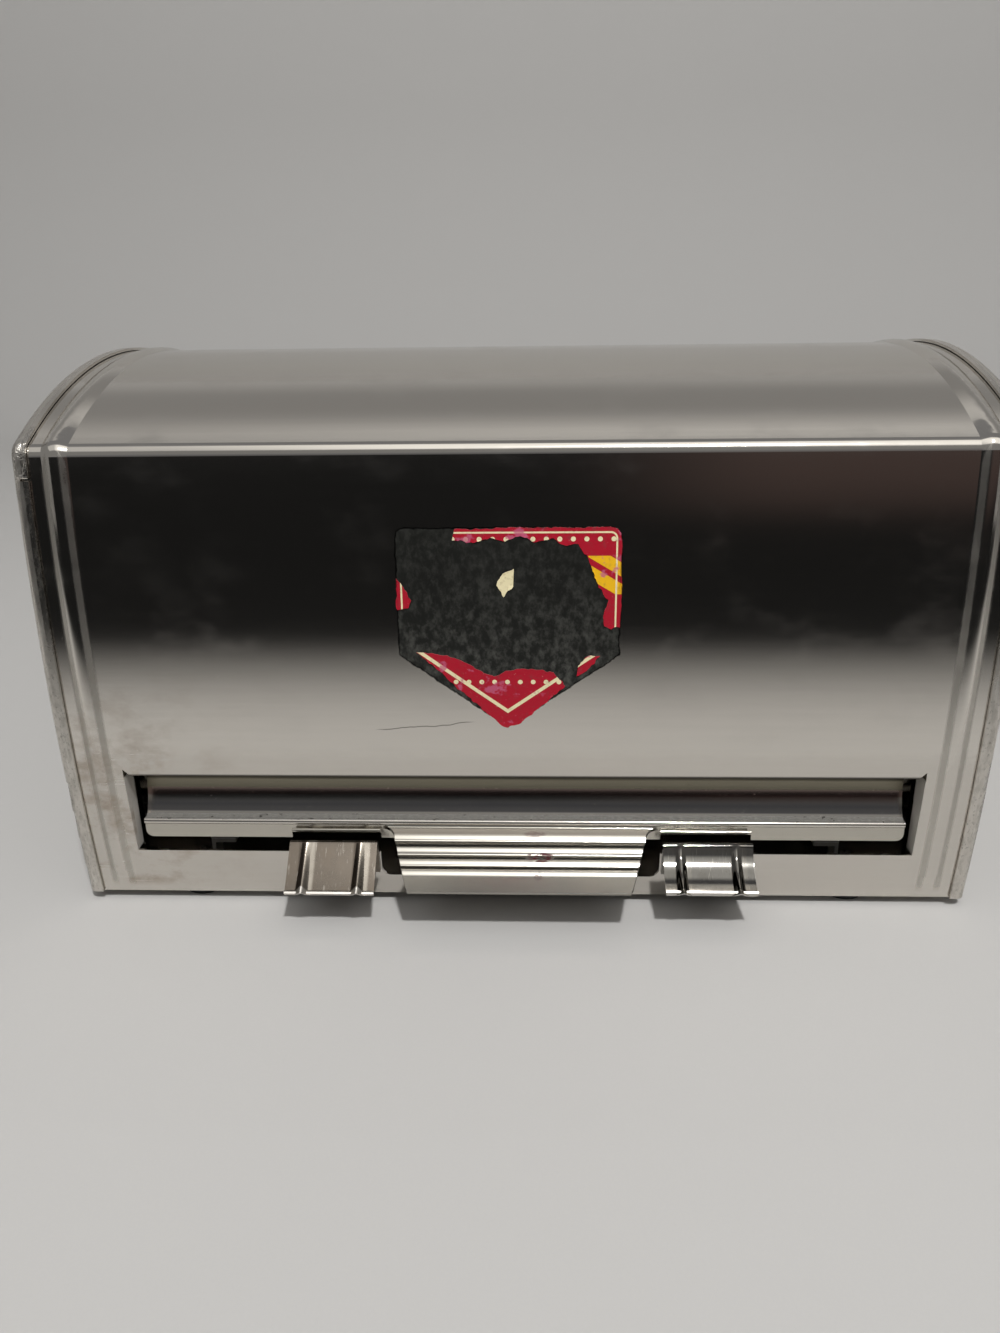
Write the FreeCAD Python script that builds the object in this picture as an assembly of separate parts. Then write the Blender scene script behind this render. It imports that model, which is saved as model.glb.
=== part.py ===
import FreeCAD, Part
import math
import os

from FreeCAD import Vector

# Straw dispenser with lever, in millimetres. +X is to the right seen from the front, +Y to the
# back and +Z up. Every function works in the housing's own frame: y = 0 is the plane through the
# front sheet's lower and upper edges, x = 0 is the middle and z = 0 is the table. The export
# shifts all pieces along Y, so that the origin is the middle of the whole object's footprint.

# ---------------------------------------------------------------- driving dimensions

SHEET = 0.8                     # housing sheet
GAP = 0.1                       # between sheets that lie on each other
SEAT = 0.3                      # between pieces that move against each other

OVERALL_WIDTH = 270.0
HOUSING_DEPTH = 155.0
FOOT_HEIGHT = 3.0
FRONT_HEIGHT = 135.5
FRONT_BOW = 4.1                 # how far the front bulges between its two edges
TOP_BEND_RADIUS = 4.0
REAR_BEND_RADIUS = 4.0
ROOF_RADIUS = 178.0
ROOF_RISE_ANGLE = 25.0          # slope of the roof where it leaves the top bend
REAR_HEADER_HEIGHT = 14.5       # strip of the cover above the loading door's hinge

FLANGE_WIDTH = 4.5              # lap of the end panels over the cover
FLANGE_LIFT = 0.2               # flange's inner face over the cover
END_EDGE_RADIUS = 2.4           # outer radius between an end panel and its flange
COVER_SIDE_GAP = 1.0            # clears the round inside the end panel
END_FOOT_WIDTH = 12.0           # inward flange under the base pan
FLANGE_SLIT_HEIGHT = 0.7
FLANGE_SLIT_DEPTH = 2.2
FLANGE_SLIT_Z = 132.4

BEAD_MARGIN = 11.8              # from the side to the bead's crest
BEAD_WIDTH = 9.4                # between the feet of its two flanks
BEAD_HEIGHT = 1.0
BEAD_SINK = 0.15                # its edges lie that deep in the sheet
BEAD_BOTTOM_Z = 11.0

SLOT_MARGIN = 18.0              # from the side to the slot's end
SLOT_BOTTOM_Z = 18.6
SLOT_TOP_Z = 45.2
SLOT_RETURN_TOP = 7.0           # depth of the folded-in ends
SLOT_RETURN_BOTTOM = 5.0
RELIEF = 2.0                    # slanting cut at the slot's upper corners
NOTCH_HALF_WIDTH = 42.3
NOTCH_BOTTOM_Z = 9.9
NOTCH_CORNER_RADIUS = 3.0

CLIP_GAP = 0.45                 # between the lever's notch and a clip
CLIP_WIDTH = 26.5
CLIP_SHEET = 0.8
CLIP_LEG_BOTTOM_Z = 11.5
CLIP_FOLD_TOP_Z = 23.2
CLIP_FOLD_RADIUS = 1.1          # outer radius of the fold at the clip's top
CLIP_REACH = 15.6               # lip in front of the y = 0 plane
CLIP_LIP_Z = {"left": 13.4, "right": 14.8}
CLIP_SAG = {"left": 0.4, "right": 1.5}      # how hollow the scoop is
CLIP_LIP_RISE = {"left": 0.4, "right": 0.9}
CLIP_RIB_WIDTH = 5.0            # at the lip; narrower at the fold
CLIP_RIB_HEIGHT = 1.7
CLIP_RIB_STEPS = [(0.7, 0.2), (0.85, 0.6), (1.0, 1.0)]  # width and height from fold to lip
CLIP_RIB_OFFSET = 8.2           # rib's middle from the clip's middle
BACKING_TOP_Z = 18.0
BACKING_BOTTOM_Z = 11.5

SHAFT_Y = 22.0
SHAFT_Z = 38.0
SHAFT_RADIUS = 3.0
SHAFT_CLEARANCE = 0.05          # radial, in the bushes
SHAFT_END = 4.0                 # shaft beyond the cheek's outer face
SHAFT_RING = 1.0                # thickness of its retaining rings
LEVER_TRAVEL = 16.0             # degrees

GATE_END_GAP = 2.25             # between the gate and the slot's end
GATE_SHEET = 0.8
GATE_TOP_Z = 49.5
GATE_TOP_Y = 6.2                # front face of the gate's upper part
GATE_BAND_FOOT_Y = 4.0
GATE_BAND_FOOT_Z = 28.4
GATE_HOLLOW_Y = 7.25            # deepest line of the band's hollow
GATE_HOLLOW_Z = 38.4
GATE_STRIP_Y = 1.2              # front face of the lower strip
GATE_STRIP_BOTTOM_Z = 21.8
GATE_BEAD_RADIUS = 1.0
GATE_BEAD_Z = 27.15
GATE_CORNER_RADIUS = 2.2
RECESS_TOP_Z = 24.0             # the strip's edge behind the clips
RECESS_SIDE = 0.3               # recess beyond the clip's side
RECESS_ROLL_RADIUS = 0.75       # its rolled edge

LEVER_REACH = 19.3              # lip of the lever tab in front of the y = 0 plane
LEVER_LIP_Z = 16.1
LEVER_ROOT_Z = 25.2
LEVER_SIDE_GAP = 4.7            # between the lever's root and the notch
LEVER_TAPER = 5.2               # narrowing of each side from root to lip
LEVER_CORNER_RADIUS = 2.5
LEVER_FLARE = 4.0               # widening of the tab's root into the strip
LEVER_SHEET = 0.9
LEVER_ROOT_FILLET = 1.0         # between the strip and the first ridge
RIDGES = [(4.85, 0.65), (4.85, 0.8), (3.8, 0.5), (3.3, 0.36)]    # width and height, from the root
SHOULDER_SHARE = 0.4            # flat start of the first ridge, of its width
GROOVE_SHARE = 0.12             # half of a groove, of its ridge's width
GROOVE_RISE = 0.3               # where the groove's round turns into the ridge's, of its height

DRUM_RADIUS = 21.0
DRUM_SHEET = 0.8
DRUM_END_GAP = 5.0              # between the drum and the slot's end
STRAW_DIAMETER = 6.5
POCKET_WALL_Y = 26.0            # steep rear wall of the straw's pocket
POCKET_FLOOR_Z = 53.6           # pocket's floor at that wall
POCKET_SLOPE = 8.0              # its floor rises to the front, less than the lever's travel
DRUM_REAR_ANGLE = 136.0
DRUM_FRONT_ANGLE = 50.0
DRUM_LAP_TOP_Z = 50.8           # the skin's front leg lies behind the gate
DRUM_LAP_BOTTOM_Z = 46.0
ROTOR_END_SHEET = 1.5
ROTOR_END_RADIUS = 14.6
ROTOR_HUB_RADIUS = 6.5
ROTOR_HUB_LENGTH = 4.4
PIN_HEAD = 1.0                  # height and overhang of the pins' heads
PIN_END = 1.5                   # travel pin beyond its cheek

TRAVEL_PIN_RADIUS = 2.0
TRAVEL_PIN_ORBIT = 11.5
TRAVEL_PIN_ANGLE = 250.0
TRAVEL_PIN_CLEARANCE = 0.1
SPRING_STUD_ORBIT = 12.0
SPRING_STUD_ANGLE = 205.0
SPRING_STUD_RADIUS = 1.5
SPRING_INSET = 4.5              # from the drum's end to the spring's middle
SPRING_RADIUS = 2.6
SPRING_WIRE_RADIUS = 0.4
SPRING_TURNS = 10
SPRING_LEAD = 2.0               # straight wire between an eye and the coil
ANCHOR_Y = 31.5
ANCHOR_HEIGHT = 10.5
ANCHOR_WIDTH = 7.0
ANCHOR_PEG_DROP = 2.6           # peg below the anchor's top
ANCHOR_SHEET = 1.2

CHEEK_GAP = 1.0                 # between the slot's end and the cheek's inner face
CHEEK_SHEET = 1.2
CHEEK_FOOT_WIDTH = 6.0
CHEEK_FOOT_MARGIN = 4.0
CHEEK_NOSE_RISE = 8.0
CHEEK_FRONT_Y = 9.5
CHEEK_REAR_MARGIN = 11.0
CHEEK_NOSE_Z = 52.0
CHEEK_TOP_MARGIN = 18.5         # below the front's upper edge
CHEEK_TOP_FRONT_Y = 16.0
BUSH_RADIUS = 5.0
BUSH_FLANGE_RADIUS = 7.0
BUSH_FLANGE = 1.2

HOPPER_SHEET = 0.8
HOPPER_SLOPE = 9.0
HOPPER_LIP_Y = 39.5
HOPPER_LIP_Z = 60.5
HOPPER_LIP_DROP = 7.0
HOPPER_TURNDOWN = 7.0
HOPPER_REAR_MARGIN = 14.0
RETAINER_FOOT_Y = 21.5
RETAINER_FOOT_Z = 61.4
RETAINER_TOP_Y = 17.5
RETAINER_TOP_MARGIN = 26.5      # below the front's upper edge
RETAINER_SIDE = 8.0
RETAINER_SIDE_RISE = 6.0        # its wings start above its foot

BASE_SHEET = 0.8
BASE_FRONT_Y = 1.2
BASE_SIDE_HEIGHT = 9.0
BASE_FRONT_HEIGHT = 3.2
BASE_REAR_HEIGHT = 14.0
BASE_CORNER_GAP = 8.0           # between its upstands at the corners

FOOT_SIDE_MARGIN = 34.0
FOOT_FRONT_Y = 9.2
FOOT_REAR_MARGIN = 15.0
FOOT_TOP_RADIUS = 8.0
FOOT_BOTTOM_RADIUS = 6.5
SCREW_RADIUS = 2.0
SCREW_HEAD_RADIUS = 3.6
SCREW_HEAD_HEIGHT = 1.4
NUT_RADIUS = 4.0
NUT_HEIGHT = 3.0
SCREW_END = 1.5                 # screw beyond its nut
SCREW_RECESS = 0.6              # head above the table
RIVET_RADIUS = 1.5
RIVET_HEAD_RADIUS = 2.8
RIVET_HEAD_HEIGHT = 0.9
RIVET_TOP_RADIUS = 1.9
BASE_RIVET_MARGIN = 23.5
BASE_RIVETS = 3                 # on each side

DOOR_SIDE_GAP = 1.0
DOOR_TOP_GAP = 1.6
DOOR_BOTTOM_Z = 9.0
DOOR_RETURN = 6.0
DOOR_RETURN_MARGIN = 12.0       # the returns start below the door's top
DOOR_PULL_HEM = 2.5
DOOR_PULL_HALF_WIDTH = 30.0
DOOR_PULL_REACH = 9.0
DOOR_OPEN_ANGLE = 100.0
HINGE_END_MARGIN = 17.5
HINGE_KNUCKLES = 9
HINGE_PIN_RADIUS = 1.1
HINGE_PIN_CLEARANCE = 0.06
HINGE_BARREL_RADIUS = 2.0
HINGE_KNUCKLE_GAP = 0.4
HINGE_LEAF_HEIGHT = 11.0
HINGE_LEAF = 0.8
HINGE_RIVETS = 5
HINGE_RIVET_MARGIN = 12.2
HINGE_RIVET_RISE = 7.0          # from the hinge's axis

FAR = 270.0                     # reach of cutting tools beyond what they cut

# ---------------------------------------------------------------- derived places

HOUSING_BOTTOM = FOOT_HEIGHT
HOUSING_EDGE = FOOT_HEIGHT + FRONT_HEIGHT
HALF_WIDTH = OVERALL_WIDTH / 2
COVER_HALF_WIDTH = HALF_WIDTH - SHEET - GAP - COVER_SIDE_GAP
FLANGE_OUT = FLANGE_LIFT + SHEET
BEAD_X = HALF_WIDTH - BEAD_MARGIN
SLOT_HALF_WIDTH = HALF_WIDTH - SLOT_MARGIN
CLIP_CENTRE_X = NOTCH_HALF_WIDTH + CLIP_GAP + CLIP_WIDTH / 2

GATE_HALF_LENGTH = SLOT_HALF_WIDTH - GATE_END_GAP
LEVER_ROOT_HALF_WIDTH = NOTCH_HALF_WIDTH - LEVER_SIDE_GAP
LEVER_LIP_HALF_WIDTH = LEVER_ROOT_HALF_WIDTH - LEVER_TAPER
DRUM_HALF_LENGTH = SLOT_HALF_WIDTH - DRUM_END_GAP
SPRING_X = DRUM_HALF_LENGTH - SPRING_INSET
CHEEK_X = SLOT_HALF_WIDTH + CHEEK_GAP
CHEEK_TOP_Z = HOUSING_EDGE - CHEEK_TOP_MARGIN
RETAINER_TOP_Z = HOUSING_EDGE - RETAINER_TOP_MARGIN

FRONT_RADIUS = (FRONT_HEIGHT / 2) ** 2 / (2 * FRONT_BOW) + FRONT_BOW / 2
FRONT_LEAN = math.degrees(math.asin(FRONT_HEIGHT / 2 / FRONT_RADIUS))
ROOF_START = 90.0 - ROOF_RISE_ANGLE

BASE_Z = HOUSING_BOTTOM + SHEET + GAP
BASE_TOP_Z = BASE_Z + BASE_SHEET
BASE_REAR_Y = HOUSING_DEPTH - SHEET - SEAT
BASE_RIVET_X = HALF_WIDTH - END_FOOT_WIDTH / 2 - SHEET
FOOT_X = HALF_WIDTH - FOOT_SIDE_MARGIN
FOOT_REAR_Y = HOUSING_DEPTH - FOOT_REAR_MARGIN

HINGE_LENGTH = OVERALL_WIDTH - 2 * HINGE_END_MARGIN
HINGE_Y = HOUSING_DEPTH + HINGE_BARREL_RADIUS + SEAT
REAR_REACH = max(HINGE_Y + HINGE_BARREL_RADIUS, HOUSING_DEPTH + DOOR_PULL_REACH)
DOOR_HALF_WIDTH = HALF_WIDTH - FLANGE_WIDTH - DOOR_SIDE_GAP

SHIFT_Y = (LEVER_REACH - REAR_REACH) / 2
SIDES = {"left": -1, "right": 1}


# ---------------------------------------------------------------- small helpers

def box(x0, x1, y0, y1, z0, z1):
    low = Vector(min(x0, x1), min(y0, y1), min(z0, z1))
    return Part.makeBox(abs(x1 - x0), abs(y1 - y0), abs(z1 - z0), low)


def rod_x(radius, x0, x1, y, z):
    return Part.makeCylinder(radius, abs(x1 - x0), Vector(min(x0, x1), y, z), Vector(1, 0, 0))


def rod_y(radius, x, y0, y1, z):
    return Part.makeCylinder(radius, y1 - y0, Vector(x, y0, z), Vector(0, 1, 0))


def rod_z(radius, x, y, z0, z1):
    return Part.makeCylinder(radius, z1 - z0, Vector(x, y, z0), Vector(0, 0, 1))


def prism_x(outline, x0, x1):
    """Extrude a closed wire or face, drawn at any x in the YZ plane, from x0 to x1."""
    face = Part.Face(outline) if isinstance(outline, Part.Wire) else outline
    face = face.copy()
    face.translate(Vector(min(x0, x1) - face.BoundBox.XMin, 0, 0))
    return face.extrude(Vector(abs(x1 - x0), 0, 0))


def polygon_x(points, x0, x1):
    """Prism along X over a polygon of (y, z) points."""
    corners = [Vector(0, y, z) for y, z in points]
    return prism_x(Part.makePolygon(corners + corners[:1]), x0, x1)


def joined(shapes):
    """One solid of pieces that touch or overlap."""
    whole = shapes[0].fuse(shapes[1:]) if len(shapes) > 1 else shapes[0]
    return whole.removeSplitter()


def group(shapes):
    return Part.makeCompound(shapes)


def spread(first, last, count):
    """Evenly spaced places from first to last."""
    return [first + (last - first) * index / (count - 1) for index in range(count)]


def mirrored(shape):
    return shape.mirror(Vector(0, 0, 0), Vector(1, 0, 0))


def polar(angle, radius):
    """Point around the shaft: 0 degrees is the front, 90 degrees is up."""
    turn = math.radians(angle)
    return SHAFT_Y - radius * math.cos(turn), SHAFT_Z + radius * math.sin(turn)


# ---------------------------------------------------------------- the housing's side profile

class Bend:
    """Arc of the profile. Angles give its outward normal: 0 is the front, 90 up, 180 the back."""

    def __init__(self, y, z, radius, start, end):
        self.y = y
        self.z = z
        self.radius = radius
        self.start = start
        self.end = end

    def at(self, angle, offset=0.0):
        turn = math.radians(angle)
        reach = self.radius + offset
        return Vector(0, self.y - reach * math.cos(turn), self.z + reach * math.sin(turn))

    def edge(self, offset):
        middle = (self.start + self.end) / 2
        points = [self.at(angle, offset) for angle in (self.start, middle, self.end)]
        return Part.Arc(*points).toShape()


def profile_bends():
    """Front, top bend, roof and rear bend, each running smoothly into the next."""
    front_z = HOUSING_BOTTOM + FRONT_HEIGHT / 2
    front = Bend(FRONT_RADIUS - FRONT_BOW, front_z, FRONT_RADIUS, -FRONT_LEAN, FRONT_LEAN)
    top = front.at(FRONT_LEAN, -TOP_BEND_RADIUS)
    bend = Bend(top.y, top.z, TOP_BEND_RADIUS, FRONT_LEAN, ROOF_START)
    crown = bend.at(ROOF_START, -ROOF_RADIUS)
    rear_sine = (HOUSING_DEPTH - REAR_BEND_RADIUS - crown.y) / (ROOF_RADIUS - REAR_BEND_RADIUS)
    rear_angle = 90.0 + math.degrees(math.asin(rear_sine))
    roof = Bend(crown.y, crown.z, ROOF_RADIUS, ROOF_START, rear_angle)
    heel = roof.at(rear_angle, -REAR_BEND_RADIUS)
    rear = Bend(heel.y, heel.z, REAR_BEND_RADIUS, rear_angle, 180.0)
    return [front, bend, roof, rear]


BENDS = profile_bends()
HINGE_Z = BENDS[-1].z - REAR_HEADER_HEIGHT
DOOR_TOP_Z = HINGE_Z - DOOR_TOP_GAP


def front_y(z, offset=0.0):
    """The front sheet's outer surface, or one offset outwards from it, at a height."""
    front = BENDS[0]
    reach = front.radius + offset
    return front.y - math.sqrt(reach ** 2 - (z - front.z) ** 2)


def profile_edges(offset, rear_z):
    """The open profile at an offset, from the front's lower edge to the back at rear_z."""
    edges = [bend.edge(offset) for bend in BENDS]
    last = BENDS[-1].at(180.0, offset)
    edges.append(Part.LineSegment(last, Vector(0, last.y, rear_z)).toShape())
    return edges


def ends_of(edges):
    start = edges[0].valueAt(edges[0].FirstParameter)
    end = edges[-1].valueAt(edges[-1].LastParameter)
    return start, end


def band_face(inner, outer, rear_z):
    """Face between two offsets of the profile."""
    outside = profile_edges(outer, rear_z)
    inside = profile_edges(inner, rear_z)
    out_start, out_end = ends_of(outside)
    in_start, in_end = ends_of(inside)
    caps = [Part.LineSegment(out_end, in_end).toShape(), Part.LineSegment(in_start, out_start).toShape()]
    return Part.Face(Part.Wire(Part.__sortEdges__(outside + inside + caps)))


def filled_face(offset, bottom_z):
    """Face of the whole side, closed straight across at bottom_z."""
    outside = profile_edges(offset, bottom_z)
    start, end = ends_of(outside)
    low = Vector(0, start.y, bottom_z)
    edges = outside + [Part.LineSegment(end, low).toShape()]
    if abs(low.z - start.z) > 1e-6:
        edges.append(Part.LineSegment(low, start).toShape())
    return Part.Face(Part.Wire(Part.__sortEdges__(edges)))


# ---------------------------------------------------------------- housing

def bead():
    """Raised bead near the right edge, from above the front's foot over the roof to the back."""
    path = Part.Wire(profile_edges(0, HINGE_Z))
    start = path.OrderedVertexes[0].Point
    out = Vector(0, -1, 0)
    rises = [-BEAD_SINK, 0.15 * BEAD_HEIGHT, 0.8 * BEAD_HEIGHT, BEAD_HEIGHT, 0.8 * BEAD_HEIGHT,
             0.15 * BEAD_HEIGHT, -BEAD_SINK]
    points = []
    for place, rise in enumerate(rises):
        across = BEAD_WIDTH * (place / (len(rises) - 1) - 0.5)
        points.append(start + Vector(BEAD_X + across, 0, 0) + out * rise)
    flanks = Part.BSplineCurve()
    flanks.interpolate(points)
    root = [points[-1], points[-1] - out * BEAD_SINK, points[0] - out * BEAD_SINK, points[0]]
    edges = [flanks.toShape()]
    for first, second in zip(root, root[1:]):
        edges.append(Part.LineSegment(first, second).toShape())
    sweep = Part.BRepOffsetAPI.MakePipeShell(path)
    sweep.setBiNormalMode(Vector(1, 0, 0))
    sweep.add(Part.Wire(edges))
    sweep.build()
    sweep.makeSolid()
    solid = sweep.shape()
    return solid.common(box(0, FAR, -FAR, HOUSING_DEPTH + FAR, BEAD_BOTTOM_Z, FAR))


def slot_return(side):
    """The slot's end, folded inwards."""
    inner = SLOT_HALF_WIDTH * side
    outer = inner + SHEET * side
    strip = prism_x(band_face(-2 * SLOT_RETURN_TOP, 0, HINGE_Z), min(inner, outer), max(inner, outer))
    top_z = SLOT_TOP_Z + RELIEF - GAP
    keep = [(-FAR, SLOT_BOTTOM_Z), (front_y(SLOT_BOTTOM_Z) + SLOT_RETURN_BOTTOM, SLOT_BOTTOM_Z),
            (front_y(top_z) + SLOT_RETURN_TOP, top_z), (-FAR, top_z)]
    return strip.common(polygon_x(keep, -HALF_WIDTH, HALF_WIDTH))


def slot_relief(side, depth):
    """Slanting cut over the fold at one of the slot's upper corners."""
    end = SLOT_HALF_WIDTH * side
    inner = end - RELIEF * side
    low, high = SLOT_TOP_Z - SHEET, SLOT_TOP_Z + RELIEF
    corners = [(end, low), (end, high), (inner, SLOT_TOP_Z), (inner, low), (end, low)]
    outline = Part.makePolygon([Vector(x, -depth, z) for x, z in corners])
    return Part.Face(outline).extrude(Vector(0, 2 * depth, 0))


def slot_cutter():
    """Slot, its relief holes and the lever's notch, as one tool."""
    depth = HOUSING_DEPTH / 4
    slot = box(-SLOT_HALF_WIDTH, SLOT_HALF_WIDTH, -depth, depth, SLOT_BOTTOM_Z, SLOT_TOP_Z)
    notch = box(-NOTCH_HALF_WIDTH, NOTCH_HALF_WIDTH, -depth, depth, NOTCH_BOTTOM_Z, SLOT_BOTTOM_Z + SHEET)
    corners = []
    for edge in notch.Edges:
        room = edge.BoundBox
        if room.YLength > depth and room.ZMax < NOTCH_BOTTOM_Z + SHEET:
            corners.append(edge)
    notch = notch.makeFillet(NOTCH_CORNER_RADIUS, corners)
    reliefs = [slot_relief(side, depth) for side in (-1, 1)]
    return joined([slot, notch] + reliefs)


def cover_sheet():
    sheet = prism_x(band_face(-SHEET, 0, HINGE_Z), -COVER_HALF_WIDTH, COVER_HALF_WIDTH)
    sheet = sheet.cut(slot_cutter())
    right = bead()
    return joined([sheet, right, mirrored(right), slot_return(-1), slot_return(1)])


def edges_at_x(shape, x):
    """Edges of the side profile that lie in the plane at x, without the lower edge."""
    found = []
    for edge in shape.Edges:
        room = edge.BoundBox
        if room.XLength < GAP / 2 and abs(room.XMin - x) < GAP / 2 and room.ZMax > HOUSING_BOTTOM + SHEET:
            found.append(edge)
    return found


def end_panel():
    """Right end panel: side plate, lapping flange on three sides and an inward foot."""
    outer = filled_face(FLANGE_OUT, HOUSING_BOTTOM)
    side = prism_x(outer, HALF_WIDTH - SHEET, HALF_WIDTH)
    ring = prism_x(band_face(FLANGE_LIFT, FLANGE_OUT, HOUSING_BOTTOM), HALF_WIDTH - FLANGE_WIDTH, HALF_WIDTH)
    shell = joined([side, ring])
    shell = shell.makeFillet(END_EDGE_RADIUS, edges_at_x(shell, HALF_WIDTH))
    shell = shell.makeFillet(END_EDGE_RADIUS - SHEET, edges_at_x(shell, HALF_WIDTH - SHEET))
    inner_x = HALF_WIDTH - FLANGE_WIDTH
    slit_z = FLANGE_SLIT_Z
    slit = box(inner_x - SHEET, inner_x + FLANGE_SLIT_DEPTH, -FAR, HOUSING_DEPTH / 2, slit_z,
               slit_z + FLANGE_SLIT_HEIGHT)
    foot = box(HALF_WIDTH - END_FOOT_WIDTH, HALF_WIDTH - SHEET / 2, BASE_FRONT_Y, BASE_REAR_Y, HOUSING_BOTTOM,
               HOUSING_BOTTOM + SHEET)
    below = box(0, FAR, -FAR, HOUSING_DEPTH + FAR, -FAR, HOUSING_BOTTOM)
    panel = joined([shell.cut(slit), foot]).cut(below)
    return panel.cut(base_rivet_holes())


def base_rivet_places():
    ys = spread(BASE_RIVET_MARGIN, HOUSING_DEPTH - BASE_RIVET_MARGIN, BASE_RIVETS)
    return [(side * BASE_RIVET_X, y) for side in (-1, 1) for y in ys]


def base_rivet_holes():
    return group([rod_z(RIVET_RADIUS, x, y, -FAR, BASE_TOP_Z + BASE_SHEET) for x, y in base_rivet_places()])


def base_pan():
    """Floor of the housing with an upstand on each side."""
    half = COVER_HALF_WIDTH
    short = half - BASE_CORNER_GAP
    front_y, rear_y = BASE_FRONT_Y, BASE_REAR_Y
    floor = box(-half, half, front_y, rear_y, BASE_Z, BASE_TOP_Z)
    front = box(-short, short, front_y, front_y + BASE_SHEET, BASE_Z, BASE_Z + BASE_FRONT_HEIGHT)
    rear = box(-short, short, rear_y - BASE_SHEET, rear_y, BASE_Z, BASE_Z + BASE_REAR_HEIGHT)
    sides = []
    for side in (-1, 1):
        sides.append(box(side * half, side * (half - BASE_SHEET), front_y + BASE_CORNER_GAP, rear_y, BASE_Z,
                         BASE_Z + BASE_SIDE_HEIGHT))
    pan = joined([floor, front, rear] + sides)
    for x, y in foot_places():
        pan = pan.cut(rod_z(SCREW_RADIUS, x, y, 0, BASE_TOP_Z + BASE_SHEET))
    return pan.cut(base_rivet_holes())


def rivet(foot, length, direction):
    """Rivet through a stack that starts at foot and is length thick along direction."""
    far = foot + direction * length
    shank = Part.makeCylinder(RIVET_RADIUS, length, foot, direction)
    near_head = Part.makeCone(RIVET_HEAD_RADIUS, RIVET_TOP_RADIUS, RIVET_HEAD_HEIGHT, foot, direction * -1)
    far_head = Part.makeCone(RIVET_HEAD_RADIUS, RIVET_TOP_RADIUS, RIVET_HEAD_HEIGHT, far, direction)
    return joined([shank, near_head, far_head])


def base_rivets():
    stack = BASE_TOP_Z - HOUSING_BOTTOM
    feet = [Vector(x, y, HOUSING_BOTTOM) for x, y in base_rivet_places()]
    return group([rivet(foot, stack, Vector(0, 0, 1)) for foot in feet])


# ---------------------------------------------------------------- feet

def foot_places():
    return [(side * FOOT_X, y) for y in (FOOT_FRONT_Y, FOOT_REAR_Y) for side in (-1, 1)]


def rubber_foot(x, y):
    body = Part.makeCone(FOOT_BOTTOM_RADIUS, FOOT_TOP_RADIUS, BASE_Z, Vector(x, y, 0), Vector(0, 0, 1))
    recess = rod_z(SCREW_HEAD_RADIUS + GAP, x, y, -FOOT_HEIGHT, SCREW_RECESS + SCREW_HEAD_HEIGHT)
    return body.cut(recess).cut(rod_z(SCREW_RADIUS, x, y, -FOOT_HEIGHT, BASE_TOP_Z))


def foot_screws():
    screws = []
    for x, y in foot_places():
        head = rod_z(SCREW_HEAD_RADIUS, x, y, SCREW_RECESS, SCREW_RECESS + SCREW_HEAD_HEIGHT)
        shank = rod_z(SCREW_RADIUS, x, y, SCREW_RECESS, BASE_TOP_Z + NUT_HEIGHT + SCREW_END)
        screws.append(joined([head, shank]))
    return group(screws)


def foot_nuts():
    nuts = []
    for x, y in foot_places():
        corners = []
        for index in range(6):
            turn = math.radians(60 * index)
            reach = Vector(math.cos(turn), math.sin(turn), 0) * NUT_RADIUS
            corners.append(Vector(x, y, BASE_TOP_Z) + reach)
        block = Part.Face(Part.makePolygon(corners + corners[:1])).extrude(Vector(0, 0, NUT_HEIGHT))
        nuts.append(block.cut(rod_z(SCREW_RADIUS, x, y, 0, BASE_TOP_Z + 2 * NUT_HEIGHT)))
    return group(nuts)


# ---------------------------------------------------------------- straw catch clips

def clip_fold(side):
    """Middle of the fold at a clip's top, in section."""
    z = CLIP_FOLD_TOP_Z - CLIP_FOLD_RADIUS
    return Vector(0, front_y(z) - GAP - CLIP_FOLD_RADIUS, z)


def clip_line(side):
    """Upper line of the hollow scoop from the fold to its lip: three points, direction and normal."""
    fold = clip_fold(side)
    lip = Vector(0, -CLIP_REACH, CLIP_LIP_Z[side] - CLIP_LIP_RISE[side])
    reach = lip - fold
    lean = math.atan2(-reach.z, -reach.y) + math.asin(CLIP_FOLD_RADIUS / reach.Length)
    along = Vector(0, -math.cos(lean), -math.sin(lean))
    normal = Vector(0, along.z, -along.y)
    start = fold + normal * CLIP_FOLD_RADIUS
    middle = (start + lip) * 0.5 - normal * CLIP_SAG[side]
    return start, middle, lip, along, normal


def clip_scoop(side, x0, x1):
    start, middle, lip, along, normal = clip_line(side)
    under = normal * -CLIP_SHEET
    top = Part.Arc(start, middle, lip).toShape()
    bottom = Part.Arc(start + under, middle + under, lip + under).toShape()
    caps = [Part.LineSegment(start, start + under).toShape(), Part.LineSegment(lip, lip + under).toShape()]
    return prism_x(Part.Wire(Part.__sortEdges__([top, bottom] + caps)), x0, x1)


def rib_section(x, place, normal, width, height):
    """Section of a rib across a clip: feet that run out into the sheet and a rounded crest."""
    half = width / 2
    sunk = -CLIP_SHEET / 2
    rises = [sunk / 2, 0.4 * height, height, 0.4 * height, sunk / 2]
    acrosses = [-half, -half / 2, 0, half / 2, half]
    points = [Vector(x + across, 0, 0) + place + normal * rise for across, rise in zip(acrosses, rises)]
    crest = Part.BSplineCurve()
    crest.interpolate(points)
    base = [points[-1], Vector(x + half, 0, 0) + place + normal * sunk,
            Vector(x - half, 0, 0) + place + normal * sunk, points[0]]
    edges = [crest.toShape()]
    for first, second in zip(base, base[1:]):
        edges.append(Part.LineSegment(first, second).toShape())
    return Part.Wire(edges)


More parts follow.
